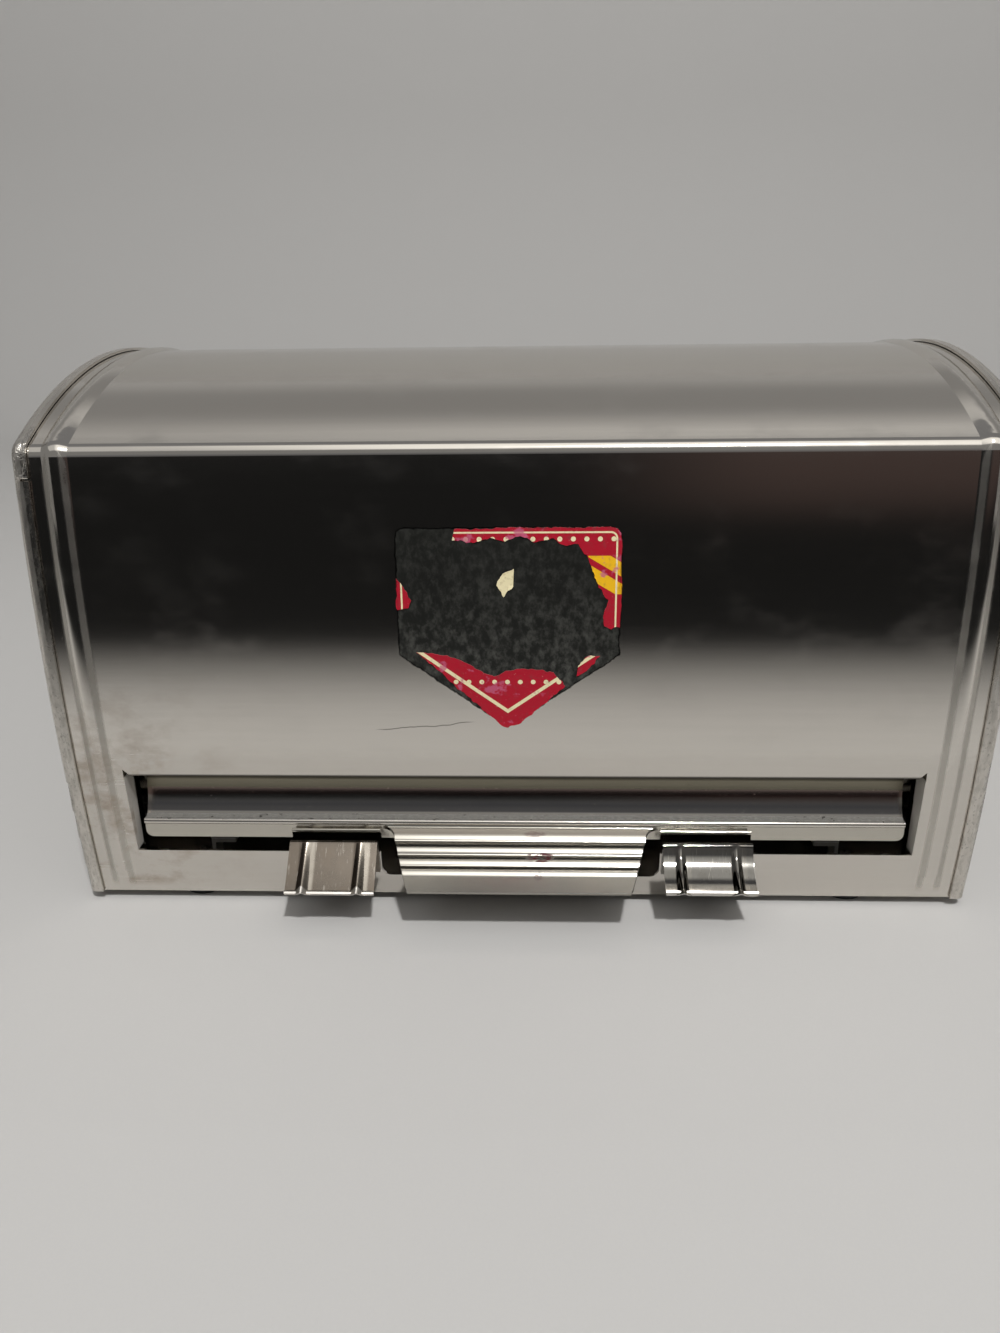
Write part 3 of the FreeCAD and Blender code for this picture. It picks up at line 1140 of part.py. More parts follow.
def nodes():
    """Every sub-part by its name, in the housing's frame."""
    pieces = {
        "cover_sheet": cover_sheet().cut(hinge_rivet_holes(1)),
        "base_pan": base_pan(),
        "base_rivets": base_rivets(),
        "foot_screws": foot_screws(),
        "foot_nuts": foot_nuts(),
        "hopper_floor": hopper_floor(),
        "hopper_front_plate": hopper_front_plate(),
        "gate_plate": gate_plate(),
        "pocket_sheet": pocket_sheet(),
        "rotor_shaft": rotor_shaft(),
        "shaft_clips": shaft_clips(),
        "rear_door": rear_door(),
        "hinge_leaf_cover": hinge_leaf(0, 1).cut(hinge_rivet_holes(1)),
        "hinge_leaf_door": hinge_leaf(1, -1).cut(hinge_rivet_holes(-1)),
        "hinge_pin": hinge_pin(),
        "hinge_rivets_cover": hinge_rivets(1),
        "hinge_rivets_door": hinge_rivets(-1),
    }
    for name, (x, y) in zip(("front_left", "front_right", "rear_left", "rear_right"), foot_places()):
        pieces["foot_" + name] = rubber_foot(x, y)
    for side in SIDES:
        pieces["catch_clip_" + side] = catch_clip(side)
        pieces["clip_backing_" + side] = clip_backing(side)
    paired = {
        "end_panel": end_panel,
        "cheek": cheek,
        "bush": bush,
        "rotor_end": rotor_end,
        "travel_pin": travel_pin,
        "spring_stud": spring_stud,
        "return_spring": return_spring,
        "spring_anchor": spring_anchor,
    }
    for name, build in paired.items():
        right = build()
        pieces[name + "_right"] = right
        pieces[name + "_left"] = mirrored(right)
    return pieces


def main():
    os.makedirs("parts", exist_ok=True)
    for name, shape in nodes().items():
        shape.translate(Vector(0, SHIFT_Y, 0))
        shape.exportStep("parts/" + name + ".step")


main()
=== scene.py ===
"""The looks of the straw dispenser with lever: finishes, torn label, stage, lamps and camera.

The row frame is in metres: X to the right, Y to the back, Z up from the table.
"""

import math

import bmesh
import bpy
from mathutils import Matrix, Vector, noise


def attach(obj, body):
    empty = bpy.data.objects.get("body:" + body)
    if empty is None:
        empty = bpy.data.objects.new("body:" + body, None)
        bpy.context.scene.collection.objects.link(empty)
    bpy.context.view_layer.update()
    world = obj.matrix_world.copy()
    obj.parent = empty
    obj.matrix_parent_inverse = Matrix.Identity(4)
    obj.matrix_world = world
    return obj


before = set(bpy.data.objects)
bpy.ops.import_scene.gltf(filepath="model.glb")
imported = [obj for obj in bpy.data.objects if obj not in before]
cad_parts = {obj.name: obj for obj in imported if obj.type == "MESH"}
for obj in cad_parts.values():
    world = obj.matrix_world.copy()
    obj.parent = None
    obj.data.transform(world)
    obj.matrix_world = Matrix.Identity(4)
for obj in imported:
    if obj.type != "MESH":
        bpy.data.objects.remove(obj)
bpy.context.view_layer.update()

MM = 0.001

# The front sheet is an arc about an axis along X: it bows forward between its two edges.
FRONT_FOOT_Z = 3.0 * MM
FRONT_HEIGHT = 135.5 * MM
FRONT_BOW = 4.1 * MM
FRONT_EDGE_Y = -72.35 * MM
FRONT_RADIUS = ((FRONT_HEIGHT / 2) ** 2 + FRONT_BOW**2) / (2 * FRONT_BOW)
FRONT_CENTRE = Vector((0.0, FRONT_EDGE_Y - FRONT_BOW + FRONT_RADIUS, FRONT_FOOT_Z + FRONT_HEIGHT / 2))


# ---------------------------------------------------------------- shader maths


class Value:
    """A number that a shader works out. Arithmetic on it adds Math nodes."""

    def __init__(self, shader, socket):
        self.shader = shader
        self.socket = socket

    def maths(self, operation, *terms):
        return self.shader.node("ShaderNodeMath", {"operation": operation}, dict(enumerate(terms)))

    def __add__(self, other):
        return self.maths("ADD", self, other)

    def __radd__(self, other):
        return self.maths("ADD", other, self)

    def __sub__(self, other):
        return self.maths("SUBTRACT", self, other)

    def __rsub__(self, other):
        return self.maths("SUBTRACT", other, self)

    def __mul__(self, other):
        return self.maths("MULTIPLY", self, other)

    def __rmul__(self, other):
        return self.maths("MULTIPLY", other, self)

    def __abs__(self):
        return self.maths("ABSOLUTE", self)

    def less(self, other):
        """The smaller of the two."""
        return self.maths("MINIMUM", self, other)

    def more(self, other):
        """The larger of the two."""
        return self.maths("MAXIMUM", self, other)


class Shader:
    """The nodes of one material or world."""

    def __init__(self, owner):
        owner.use_nodes = True
        self.owner = owner
        self.tree = owner.node_tree
        self.tree.nodes.clear()

    def node(self, kind, settings=None, inputs=None, output=0):
        """Adds a node of a kind, sets it, feeds its sockets, and gives one of its outputs."""
        made = self.tree.nodes.new(kind)
        for name, setting in (settings or {}).items():
            setattr(made, name, setting)
        for socket, fed in (inputs or {}).items():
            if isinstance(fed, Value):
                self.tree.links.new(fed.socket, made.inputs[socket])
            else:
                made.inputs[socket].default_value = fed
        if not made.outputs:
            return None
        return Value(self, made.outputs[output])

    def place(self):
        """Where a point of the piece is, in the piece's own frame."""
        return self.node("ShaderNodeTexCoord", output="Object")

    def stretched(self, lengths):
        """The place counted in lengths along X, Y and Z, so a texture's features take those sizes."""
        return self.node("ShaderNodeVectorMath", {"operation": "DIVIDE"}, {0: self.place(), 1: lengths})

    def cloud(self, lengths, detail=2.0, roughness=0.5, seed=0.0):
        """Soft noise from 0 to 1 with features of the given lengths."""
        return self.node(
            "ShaderNodeTexNoise",
            {"noise_dimensions": "4D"},
            {
                "Vector": self.stretched(lengths),
                "W": seed,
                "Scale": 1.0,
                "Detail": detail,
                "Roughness": roughness,
            },
        )

    def length(self, x, z):
        """The length of a vector of two numbers."""
        vector = self.node("ShaderNodeCombineXYZ", {}, {0: x, 2: z})
        return self.node("ShaderNodeVectorMath", {"operation": "LENGTH"}, {0: vector}, 1)

    def ranged(self, field, low, high, start=0.0, end=1.0):
        """Start below low, end above high, and a smooth step between them."""
        return self.node(
            "ShaderNodeMapRange",
            {"interpolation_type": "SMOOTHSTEP"},
            {"Value": field, "From Min": low, "From Max": high, "To Min": start, "To Max": end},
        )

    def axes(self):
        """X, Y and Z of the place, in metres."""
        parts = self.tree.nodes.new("ShaderNodeSeparateXYZ")
        self.tree.links.new(self.place().socket, parts.inputs[0])
        return [Value(self, socket) for socket in parts.outputs]

    def facing(self, axis):
        """How far the surface faces along an axis, from -1 to 1."""
        normal = self.node("ShaderNodeNewGeometry", output="Normal")
        return self.node("ShaderNodeSeparateXYZ", {}, {0: normal}, axis)

    def layered(self, base, *layers):
        """Colours laid over a base one by one, each as a mask and a colour."""
        for mask, colour in layers:
            base = self.mixed(mask, base, colour)
        return base

    def mixed(self, factor, first, second):
        """A colour that turns from the first to the second."""
        made = self.tree.nodes.new("ShaderNodeMix")
        made.data_type = "RGBA"
        # A Mix node has its colours on sockets 6 and 7, and gives the mixed one on output 2.
        for socket, fed in ((0, factor), (6, first), (7, second)):
            if isinstance(fed, Value):
                self.tree.links.new(fed.socket, made.inputs[socket])
            else:
                made.inputs[socket].default_value = fed if isinstance(fed, float) else fed + (1.0,)
        return Value(self, made.outputs[2])

    def bump(self, height, depth, under=None):
        """The shading normal over a relief of the given depth."""
        inputs = {"Height": height, "Distance": depth, "Strength": 1.0}
        if under is not None:
            inputs["Normal"] = under
        return self.node("ShaderNodeBump", {}, inputs)

    def surface(self, inputs):
        """Ends the material in a Principled shader."""
        colour = inputs.get("Base Color")
        if isinstance(colour, tuple):
            inputs["Base Color"] = colour + (1.0,)
        body = self.node("ShaderNodeBsdfPrincipled", {}, inputs)
        self.node("ShaderNodeOutputMaterial", {}, {"Surface": body})
        return self.owner


def new_shader(name):
    """The nodes of a new material of that name."""
    return Shader(bpy.data.materials.new(name))


# -------------------------------------------------------------------- finishes


# Colours are linear red, green and blue.
STEEL = (0.70, 0.665, 0.615)
STEEL_DULL = (0.56, 0.53, 0.485)


def steel_fields(s):
    """What all sheets share: fine grain and streaks along X, and small dull specks."""
    grain = s.cloud((9 * MM, 0.22 * MM, 0.22 * MM), 3.0, 0.6)
    streaks = s.cloud((60 * MM, 1.6 * MM, 1.6 * MM), 2.0, 0.5, seed=3.0)
    specks = s.ranged(s.cloud((1.3 * MM, 1.3 * MM, 1.3 * MM), 2.0, 0.6, seed=11.0), 0.72, 0.8)
    return grain, streaks, specks


def hand_smudges(s):
    """Soft smudges, as hands leave them on a large sheet."""
    return s.ranged(s.cloud((22 * MM, 22 * MM, 14 * MM), 3.0, 0.55, seed=7.0), 0.5, 0.72)


def rolled_colour(s, grain, streaks, specks, streak_share=0.2):
    """The sheet's own colour, duller along its grain and streaks and on its specks."""
    return s.mixed(grain * 0.25 + streaks * streak_share + specks * 0.35, STEEL, STEEL_DULL)


def sheet_steel():
    """Stainless sheet with a fine grain along X, smudges, and dull specks."""
    s = new_shader("sheet_steel")
    grain, streaks, specks = steel_fields(s)
    smudges = hand_smudges(s)
    return s.surface(
        {
            "Base Color": rolled_colour(s, grain, streaks, specks),
            "Metallic": 1.0,
            "Roughness": 0.07 + 0.045 * grain + 0.04 * streaks + 0.03 * smudges + 0.06 * specks,
            "Normal": s.bump(grain + streaks * 0.5, 0.0015 * MM),
        }
    )


# The label's outline on the front: a square with rounded upper corners and a point below it.
LABEL_LEFT = -33.0 * MM
LABEL_RIGHT = 28.0 * MM
LABEL_TOP = 119.3 * MM
LABEL_SHOULDER = 83.5 * MM          # where the point starts
LABEL_TIP = (-3.0 * MM, 61.5 * MM)
LABEL_ROUND = 3.0 * MM

# The glue left where the label is torn off, dark and full of paler crumbs.
GLUE = (0.012, 0.0125, 0.011)
GLUE_PALE = (0.085, 0.085, 0.076)
GLUE_RAGGED = 1.6 * MM              # how far its rim strays
GLUE_THIN_Z = (62 * MM, 112 * MM)   # its crumbs are paler below than above

# A scratch beside the label's tip, in X and Z.
SCRATCH_START = (-39.8 * MM, 60.6 * MM)
SCRATCH_END = (-13.8 * MM, 63.2 * MM)
SCRATCH_WIDTH = 0.22 * MM
SCRATCH_WANDER = 3 * MM
SCRATCH_FADE = 2 * MM               # how far each end of it fades

# The front's outer face lies before the slot's folded-in ends.
FACE_FRONT_Y = -72.9 * MM
FACE_BACK_Y = -72.5 * MM

SLOT_TOP_Z = 45.2 * MM
SLOT_HALF_WIDTH = 117.0 * MM

DIRTY_X = (-128 * MM, -70 * MM)     # the dirty corner thins out from the left edge
DIRTY_Z = (30 * MM, 92 * MM)        # and upwards

# Each bead's two flanks, from the middle of the front.
BEAD_FLANKS = (120.9 * MM, 126.2 * MM)
BEAD_FLANK_HALF = 1.3 * MM


def label_point(x, z):
    """How far a point lies above the label's two lower edges, in metres."""
    tip_x, tip_z = LABEL_TIP
    inside = None
    for shoulder_x in (LABEL_LEFT, LABEL_RIGHT):
        run = shoulder_x - tip_x
        rise = LABEL_SHOULDER - tip_z
        length = math.hypot(run, rise)
        sign = 1.0 if run > 0.0 else -1.0
        edge = (z - tip_z) * (abs(run) / length) - (x - tip_x) * (sign * rise / length)
        inside = inside.less(edge) if inside else edge
    return inside


def label_field(s, x, z):
    """How far a point lies inside the label's outline, in metres; below 0 outside."""
    across = ((x - LABEL_LEFT).less(LABEL_RIGHT - x) * -1.0 + LABEL_ROUND).more(0.0)
    up = (z - (LABEL_TOP - LABEL_ROUND)).more(0.0)
    corner = LABEL_ROUND - s.length(across, up)
    return corner.less(label_point(x, z))


def scratch_field(s, x, z):
    """The scratch: 1 on its line, which wanders a little."""
    start_x, start_z = SCRATCH_START
    end_x, end_z = SCRATCH_END
    slope = (end_z - start_z) / (end_x - start_x)
    bend = (s.cloud((9 * MM, 1.0, 1.0), 2.0, 0.5, seed=21.0) - 0.5) * SCRATCH_WANDER
    off = abs(z - start_z - (x - start_x) * slope + bend)
    along = s.ranged(x, start_x - SCRATCH_FADE, start_x + SCRATCH_FADE)
    until = s.ranged(x, end_x - SCRATCH_FADE, end_x + SCRATCH_FADE, 1.0, 0.0)
    return s.ranged(off, SCRATCH_WIDTH * 0.4, SCRATCH_WIDTH, 1.0, 0.0) * along * until


def corner_dirt(s, x, z):
    """Brown stains on the front's lower left, and short bright hairs among them."""
    corner = s.ranged(x, *DIRTY_X, 1.0, 0.0) * s.ranged(z, *DIRTY_Z, 1.0, 0.0)
    stains = s.ranged(s.cloud((13 * MM, 13 * MM, 9 * MM), 4.0, 0.62, seed=16.0), 0.44, 0.66)
    hairs = s.ranged(s.cloud((14 * MM, 0.35 * MM, 0.35 * MM), 2.0, 0.4, seed=17.0), 0.66, 0.72)
    return stains * corner, hairs * corner


def slot_lip_shade(s, x, z):
    """Painted shade along the slot's upper lip, where the sheet's edge is in shadow: 1 on it."""
    above = s.ranged(z, SLOT_TOP_Z + 0.1 * MM, SLOT_TOP_Z + 0.8 * MM, 1.0, 0.0)
    below = s.ranged(z, SLOT_TOP_Z - 1.2 * MM, SLOT_TOP_Z - 0.7 * MM)
    within = s.ranged(abs(x), SLOT_HALF_WIDTH - 0.4 * MM, SLOT_HALF_WIDTH + 0.4 * MM, 1.0, 0.0)
    return above * below * within


def slot_folds(s, x, z):
    """The slot's folded-in ends, which face sideways: 1 on them."""
    sideways = s.ranged(abs(s.facing("X")), 0.5, 0.7)
    below = s.ranged(z, SLOT_TOP_Z - 0.9 * MM, SLOT_TOP_Z - 0.6 * MM, 1.0, 0.0)
    within = s.ranged(abs(x), SLOT_HALF_WIDTH + 3.0 * MM, SLOT_HALF_WIDTH + 3.2 * MM, 1.0, 0.0)
    return sideways * below * within


def bead_flank_shade(s, x):
    """The beads' flanks, dull and painted darker as shade: 1 along them, weaker where they are rubbed.
    """
    flank_shade = 0.0
    for flank_x in BEAD_FLANKS:
        off = abs(abs(x) - flank_x)
        flank_shade = s.ranged(off, BEAD_FLANK_HALF * 0.4, BEAD_FLANK_HALF, 1.0, 0.0) + flank_shade
    rubbed = s.ranged(s.cloud((1.5 * MM, 1.5 * MM, 9 * MM), 3.0, 0.6, seed=18.0), 0.1, 0.5, 0.4, 1.0)
    return flank_shade * rubbed


def cover_steel():
    """The sheet of the cover: glue of the torn label, a scratch, beads with painted shade on their dull
    flanks, painted shade along the slot's upper lip, a dirty lower left.
    """
    s = new_shader("cover_steel")
    grain, streaks, specks = steel_fields(s)
    smudges = hand_smudges(s)
    x, y, z = s.axes()
    front = s.ranged(y, FACE_FRONT_Y, FACE_BACK_Y, 1.0, 0.0)
    ragged = (s.cloud((3 * MM, 3 * MM, 3 * MM), 3.0, 0.6, seed=14.0) - 0.5) * GLUE_RAGGED
    inside = label_field(s, x, z) + ragged
    glue = s.ranged(inside, 0.0, 0.5 * MM) * front
    glue_colour = s.ranged(inside, -0.25 * MM, 0.1 * MM) * front
    thin = s.ranged(z, *GLUE_THIN_Z, 1.0, 0.25)
    crumbs = s.ranged(s.cloud((2.2 * MM, 2.2 * MM, 3.0 * MM), 4.0, 0.7, seed=15.0), 0.4, 0.72)
    scratch = scratch_field(s, x, z) * front
    stains, hairs = [field * front for field in corner_dirt(s, x, z)]
    painted_lip = slot_lip_shade(s, x, z) * front
    flank_shade = bead_flank_shade(s, x) * front
    folds = slot_folds(s, x, z)
    colour = s.layered(
        rolled_colour(s, grain, streaks, specks),
        # painted shade: near black along the slot's upper lip
        (painted_lip * 0.93, (0.03, 0.028, 0.024)),
        # painted shade: the beads' flanks darker
        (flank_shade * 0.6, (0.42, 0.40, 0.36)),
        (glue_colour, s.mixed(crumbs * thin, GLUE, GLUE_PALE)),
        (stains * 0.75, (0.37, 0.3, 0.235)),
        (hairs * 0.6, (0.8, 0.78, 0.74)),
        (scratch * 0.7, (0.2, 0.19, 0.17)),
    )
    roughness = 0.066 + 0.045 * grain + 0.04 * streaks + 0.07 * smudges + 0.16 * specks
    roughness = roughness + 0.22 * flank_shade + 0.5 * folds + 0.1 * stains + 0.15 * hairs
    roughness = roughness + 0.22 * glue + 0.12 * glue * crumbs
    relief = grain + streaks * 0.5 + crumbs * glue * 3.0 - scratch * 6.0
    return s.surface(
        {
            "Base Color": colour,
            "Metallic": 1.0 - glue - 0.45 * folds,
            "Specular IOR Level": 0.2,
            "Roughness": roughness,
            "Normal": s.bump(relief, 0.0015 * MM),
        }
    )


CLIP_CENTRE = 56.0 * MM             # from the middle of the front to the middle of a clip
CLIP_RIB_OFFSET = 8.2 * MM          # from a clip's middle to each rib
CLIP_SHADED_FLANK = 1.0 * MM         # from a rib to its flank with painted shade, to the left
CLIP_LIT_FLANK = 1.6 * MM      # and to its flank with painted highlight, to the right
CLIP_LIP_Y = -87.5 * MM

BROWN_STEEL = (0.175, 0.152, 0.128)
BROWN_STAIN = (0.12, 0.097, 0.075)
GREY_STEEL = (0.21, 0.203, 0.19)
GREY_STAIN = (0.15, 0.143, 0.128)


def rib_shade_and_highlight(s, x, middle):
    """Where shade is painted on the left flank of a clip's ribs, and a highlight on the right one."""
    shaded_flank = 0.0
    lit_flank = 0.0
    for rib_x in (middle - CLIP_RIB_OFFSET, middle + CLIP_RIB_OFFSET):
        off_shaded = abs(x - (rib_x - CLIP_SHADED_FLANK))
        off_lit = abs(x - (rib_x + CLIP_LIT_FLANK))
        shaded_flank = s.ranged(off_shaded, 0.6 * MM, 1.3 * MM, 1.0, 0.0) + shaded_flank
        lit_flank = s.ranged(off_lit, 0.9 * MM, 1.8 * MM, 1.0, 0.0) + lit_flank
    return shaded_flank, lit_flank


def clip_steel(name, middle, steel, stain, flank_light, dullness, relief, seed):
    """Handled and worn steel of a clip: stained, with short scratches, painted shade and highlight on
    its ribs' flanks, and a painted highlight along its lip.
    """
    s = new_shader(name)
    x, y, z = s.axes()
    shaded_flank, lit_flank = rib_shade_and_highlight(s, x, middle)
    painted_lip = s.ranged(y, CLIP_LIP_Y - 0.3 * MM, CLIP_LIP_Y + 0.2 * MM, 1.0, 0.0)
    scuffs = s.cloud((4 * MM, 4 * MM, 3 * MM), 4.0, 0.65, seed=seed)
    stains = s.ranged(s.cloud((7 * MM, 9 * MM, 9 * MM), 3.0, 0.6, seed=seed + 3.0), 0.45, 0.65)
    hairs = s.ranged(s.cloud((0.3 * MM, 5 * MM, 5 * MM), 2.0, 0.5, seed=seed + 5.0), 0.62, 0.7)
    specks = s.ranged(s.cloud((0.8 * MM, 0.8 * MM, 0.8 * MM), 2.0, 0.6, seed=seed + 8.0), 0.62, 0.72)
    colour = s.layered(
        s.mixed(scuffs * 0.4, steel, stain),
        (stains * 0.5, stain),
        (specks * 0.45, (0.12, 0.1, 0.085)),
        (hairs * 0.3, (0.6, 0.57, 0.52)),
        # painted highlight on the ribs' right flanks, painted shade on their left ones
        (lit_flank * flank_light * 0.65, (0.47, 0.43, 0.37)),
        (shaded_flank * flank_light * 0.75, (0.065, 0.052, 0.042)),
        # painted highlight along the lip's edge
        (painted_lip * 0.8, (0.72, 0.69, 0.64)),
    )
    return s.surface(
        {
            "Base Color": colour,
            "Metallic": 1.0,
            "Roughness": dullness * (0.8 + 0.5 * scuffs + 0.25 * stains + 0.3 * hairs) + 0.15 * painted_lip,
            "Normal": s.bump(scuffs + hairs * 0.3, relief),
        }
    )


# Heights on the gate, and where each kind of dirt and of painted shade starts in its hollow.
GATE_STRIP_TOP_Z = 26.4 * MM
GATE_LEDGE_Z = 27.2 * MM
GATE_FOOT_SHADE_Z = 28.8 * MM             # painted shade at the hollow's foot
GATE_FILM_Z = 29.5 * MM             # thin grey film
GATE_FOOT_SHADE_TOP_Z = 30.7 * MM         # where that painted shade starts to thin out
GATE_BROWN_Z = 33.2 * MM            # brown line
GATE_OLIVE_Z = 35.2 * MM            # olive dirt above it, darkened as painted shade
GATE_EDGE_SHADE_Z = 38.4 * MM            # painted shade, near black, under the cover's edge

# The tab: its root, the brownish band near it, and the flat at its end, painted darker as shade.
TAB_ROOT_Y = -72.3 * MM
TAB_PATINA_Z = 24.4 * MM
TAB_PATINA_TOP_Z = 25.9 * MM
TAB_FLAT_Z = 18.2 * MM

# Red smears on the tab: X, Z, how far each reaches along X and Z, and its strength.
RED_SMEARS = (
    (4.6 * MM, 24.8 * MM, 4.2 * MM, 0.6 * MM, 0.6),
    (6.0 * MM, 21.3 * MM, 4.8 * MM, 0.9 * MM, 1.6),
    (5.6 * MM, 18.5 * MM, 1.6 * MM, 0.8 * MM, 0.6),
)


def smear_field(s, x, z):
    """The red smears, each up to its strength and broken into threads."""
    smear = 0.0
    for place_x, place_z, reach_x, reach_z, strength in RED_SMEARS:
        off = s.length((x - place_x) * (1.0 / reach_x), (z - place_z) * (1.0 / reach_z))
        smear = s.ranged(off, 0.5, 1.0, strength, 0.0) + smear
    threads = s.ranged(s.cloud((2.5 * MM, 0.6 * MM, 0.6 * MM), 3.0, 0.7, seed=43.0), 0.42, 0.55)
    return smear * threads


def ledge_dust(s, z):
    """Dust on the gate's ledge, which faces up: 1 where it lies."""
    above = s.ranged(z, GATE_LEDGE_Z, GATE_LEDGE_Z + 0.5 * MM)
    below = s.ranged(z, GATE_FILM_Z - 0.1 * MM, GATE_FILM_Z + 0.4 * MM, 1.0, 0.0)
    patches = s.ranged(s.cloud((3 * MM, 2 * MM, 2 * MM), 3.0, 0.6, seed=41.0), 0.2, 0.6)
    return s.ranged(s.facing("Z"), 0.75, 0.9) * above * below * patches


def tab_patina_and_flat_shade(s, z):
    """The brownish band near the tab's root, and the flat at its end painted darker as shade: 1 on
    each.
    """
    patina = s.ranged(z, TAB_PATINA_Z, TAB_PATINA_Z + 0.5 * MM)
    patina = patina * s.ranged(z, TAB_PATINA_TOP_Z, TAB_PATINA_TOP_Z + 0.4 * MM, 1.0, 0.0)
    shaded_flat = s.ranged(z, TAB_FLAT_Z, TAB_FLAT_Z + 0.5 * MM, 1.0, 0.0)
    return patina, shaded_flat


def hollow_dirt_and_shade(s, z):
    """The gate's dirt and painted shade from its ledge upwards: painted shade at the foot, grey film,
    brown, olive dirt darkened as painted shade, and near-black painted shade under the cover's edge.
    """
    wander = (s.cloud((30 * MM, 3 * MM, 3 * MM), 3.0, 0.6, seed=42.0) - 0.5) * (1.2 * MM)
    film = s.ranged(z, GATE_FILM_Z, GATE_FILM_Z + 1.5 * MM)
    foot_shade = s.ranged(z, GATE_FOOT_SHADE_Z, GATE_FOOT_SHADE_Z + 0.5 * MM)
    foot_shade = foot_shade * s.ranged(z + wander * 0.4, GATE_FOOT_SHADE_TOP_Z, GATE_FOOT_SHADE_TOP_Z + 2.1 * MM, 1.0, 0.0)
    brown = s.ranged(z + wander, GATE_BROWN_Z, GATE_BROWN_Z + 0.8 * MM)
    olive = s.ranged(z + wander * 0.4, GATE_OLIVE_Z, GATE_OLIVE_Z + 1.0 * MM)
    slot_edge_shade = s.ranged(z + wander * 0.4, GATE_EDGE_SHADE_Z, GATE_EDGE_SHADE_Z + 0.9 * MM)
    return foot_shade, film, brown, olive, slot_edge_shade


def gate_steel():
    """The gate and its tab: satin sheet with dust on its ledge, dirt and painted shade in its hollow, a
    flat painted darker as shade on the tab, and red smears.
    """
    s = new_shader("gate_steel")
    grain, streaks, specks = steel_fields(s)
    x, y, z = s.axes()
    on_tab = s.ranged(y, TAB_ROOT_Y, TAB_ROOT_Y + 0.8 * MM, 1.0, 0.0)
    off_tab = 1.0 - on_tab
    strip = s.ranged(z, GATE_STRIP_TOP_Z - 0.3 * MM, GATE_STRIP_TOP_Z, 1.0, 0.0) * off_tab
    pits = s.ranged(s.cloud((1.6 * MM, 1.0 * MM, 1.0 * MM), 3.0, 0.7, seed=44.0), 0.6, 0.7)
    dust = ledge_dust(s, z)
    patina, shaded_flat = [field * on_tab for field in tab_patina_and_flat_shade(s, z)]
    foot_shade, film, brown, olive, slot_edge_shade = hollow_dirt_and_shade(s, z)
    smear = smear_field(s, x, z) * on_tab
    colour = s.layered(
        rolled_colour(s, grain, streaks, specks, 0.25),
        (strip * 0.6, (0.47, 0.45, 0.385)),
        (on_tab * 0.35, (0.66, 0.63, 0.54)),
        (patina * 0.8, (0.36, 0.315, 0.265)),
        # painted shade: the tab's flat darker
        (shaded_flat * 0.8, (0.33, 0.315, 0.285)),
        (film * 0.75, (0.33, 0.325, 0.31)),
        # painted shade at the hollow's foot
        (foot_shade * 0.9, (0.155, 0.152, 0.157)),
        (pits * off_tab * 0.3, (0.4, 0.37, 0.32)),
        (brown * 0.8, (0.26, 0.17, 0.155)),
        # olive dirt, darkened as painted shade
        (olive * 0.95, (0.215, 0.2, 0.15)),
        # painted shade, near black, under the cover's edge
        (slot_edge_shade * 0.85, (0.04, 0.036, 0.028)),
        (dust * 0.8, (0.17, 0.165, 0.15)),
        (smear * 0.85, (0.085, 0.018, 0.021)),
    )
    roughness = 0.09 + 0.05 * grain + 0.05 * streaks + 0.08 * on_tab + 0.1 * pits * off_tab
    return s.surface(
        {
            "Base Color": colour,
            "Metallic": 1.0 - dust * 0.6 - smear * 0.5,
            "Roughness": roughness + 0.03 * film + 0.12 * olive + 0.35 * dust + 0.35 * patina,
            "Normal": s.bump(grain + streaks * 0.5 - pits * 0.3, 0.0018 * MM),
        }
    )


FLANGE_SIDE_X = 134.2 * MM          # the flange lies inside this, the panel's side past it
FLANGE_STREAK_X = 132.6 * MM        # a rubbed streak along the flange
FLANGE_WORN_Z = (60 * MM, 100 * MM)     # it is duller below than above
FLANGE_CRINKLE_Z = 132.6 * MM       # above this the flange is crinkled round the top bend
FLANGE_CRINKLE_Y = (-68 * MM, -64 * MM)
LAP_Y = (-71.0 * MM, -66.0 * MM)    # wear and pits thin out behind the front lap


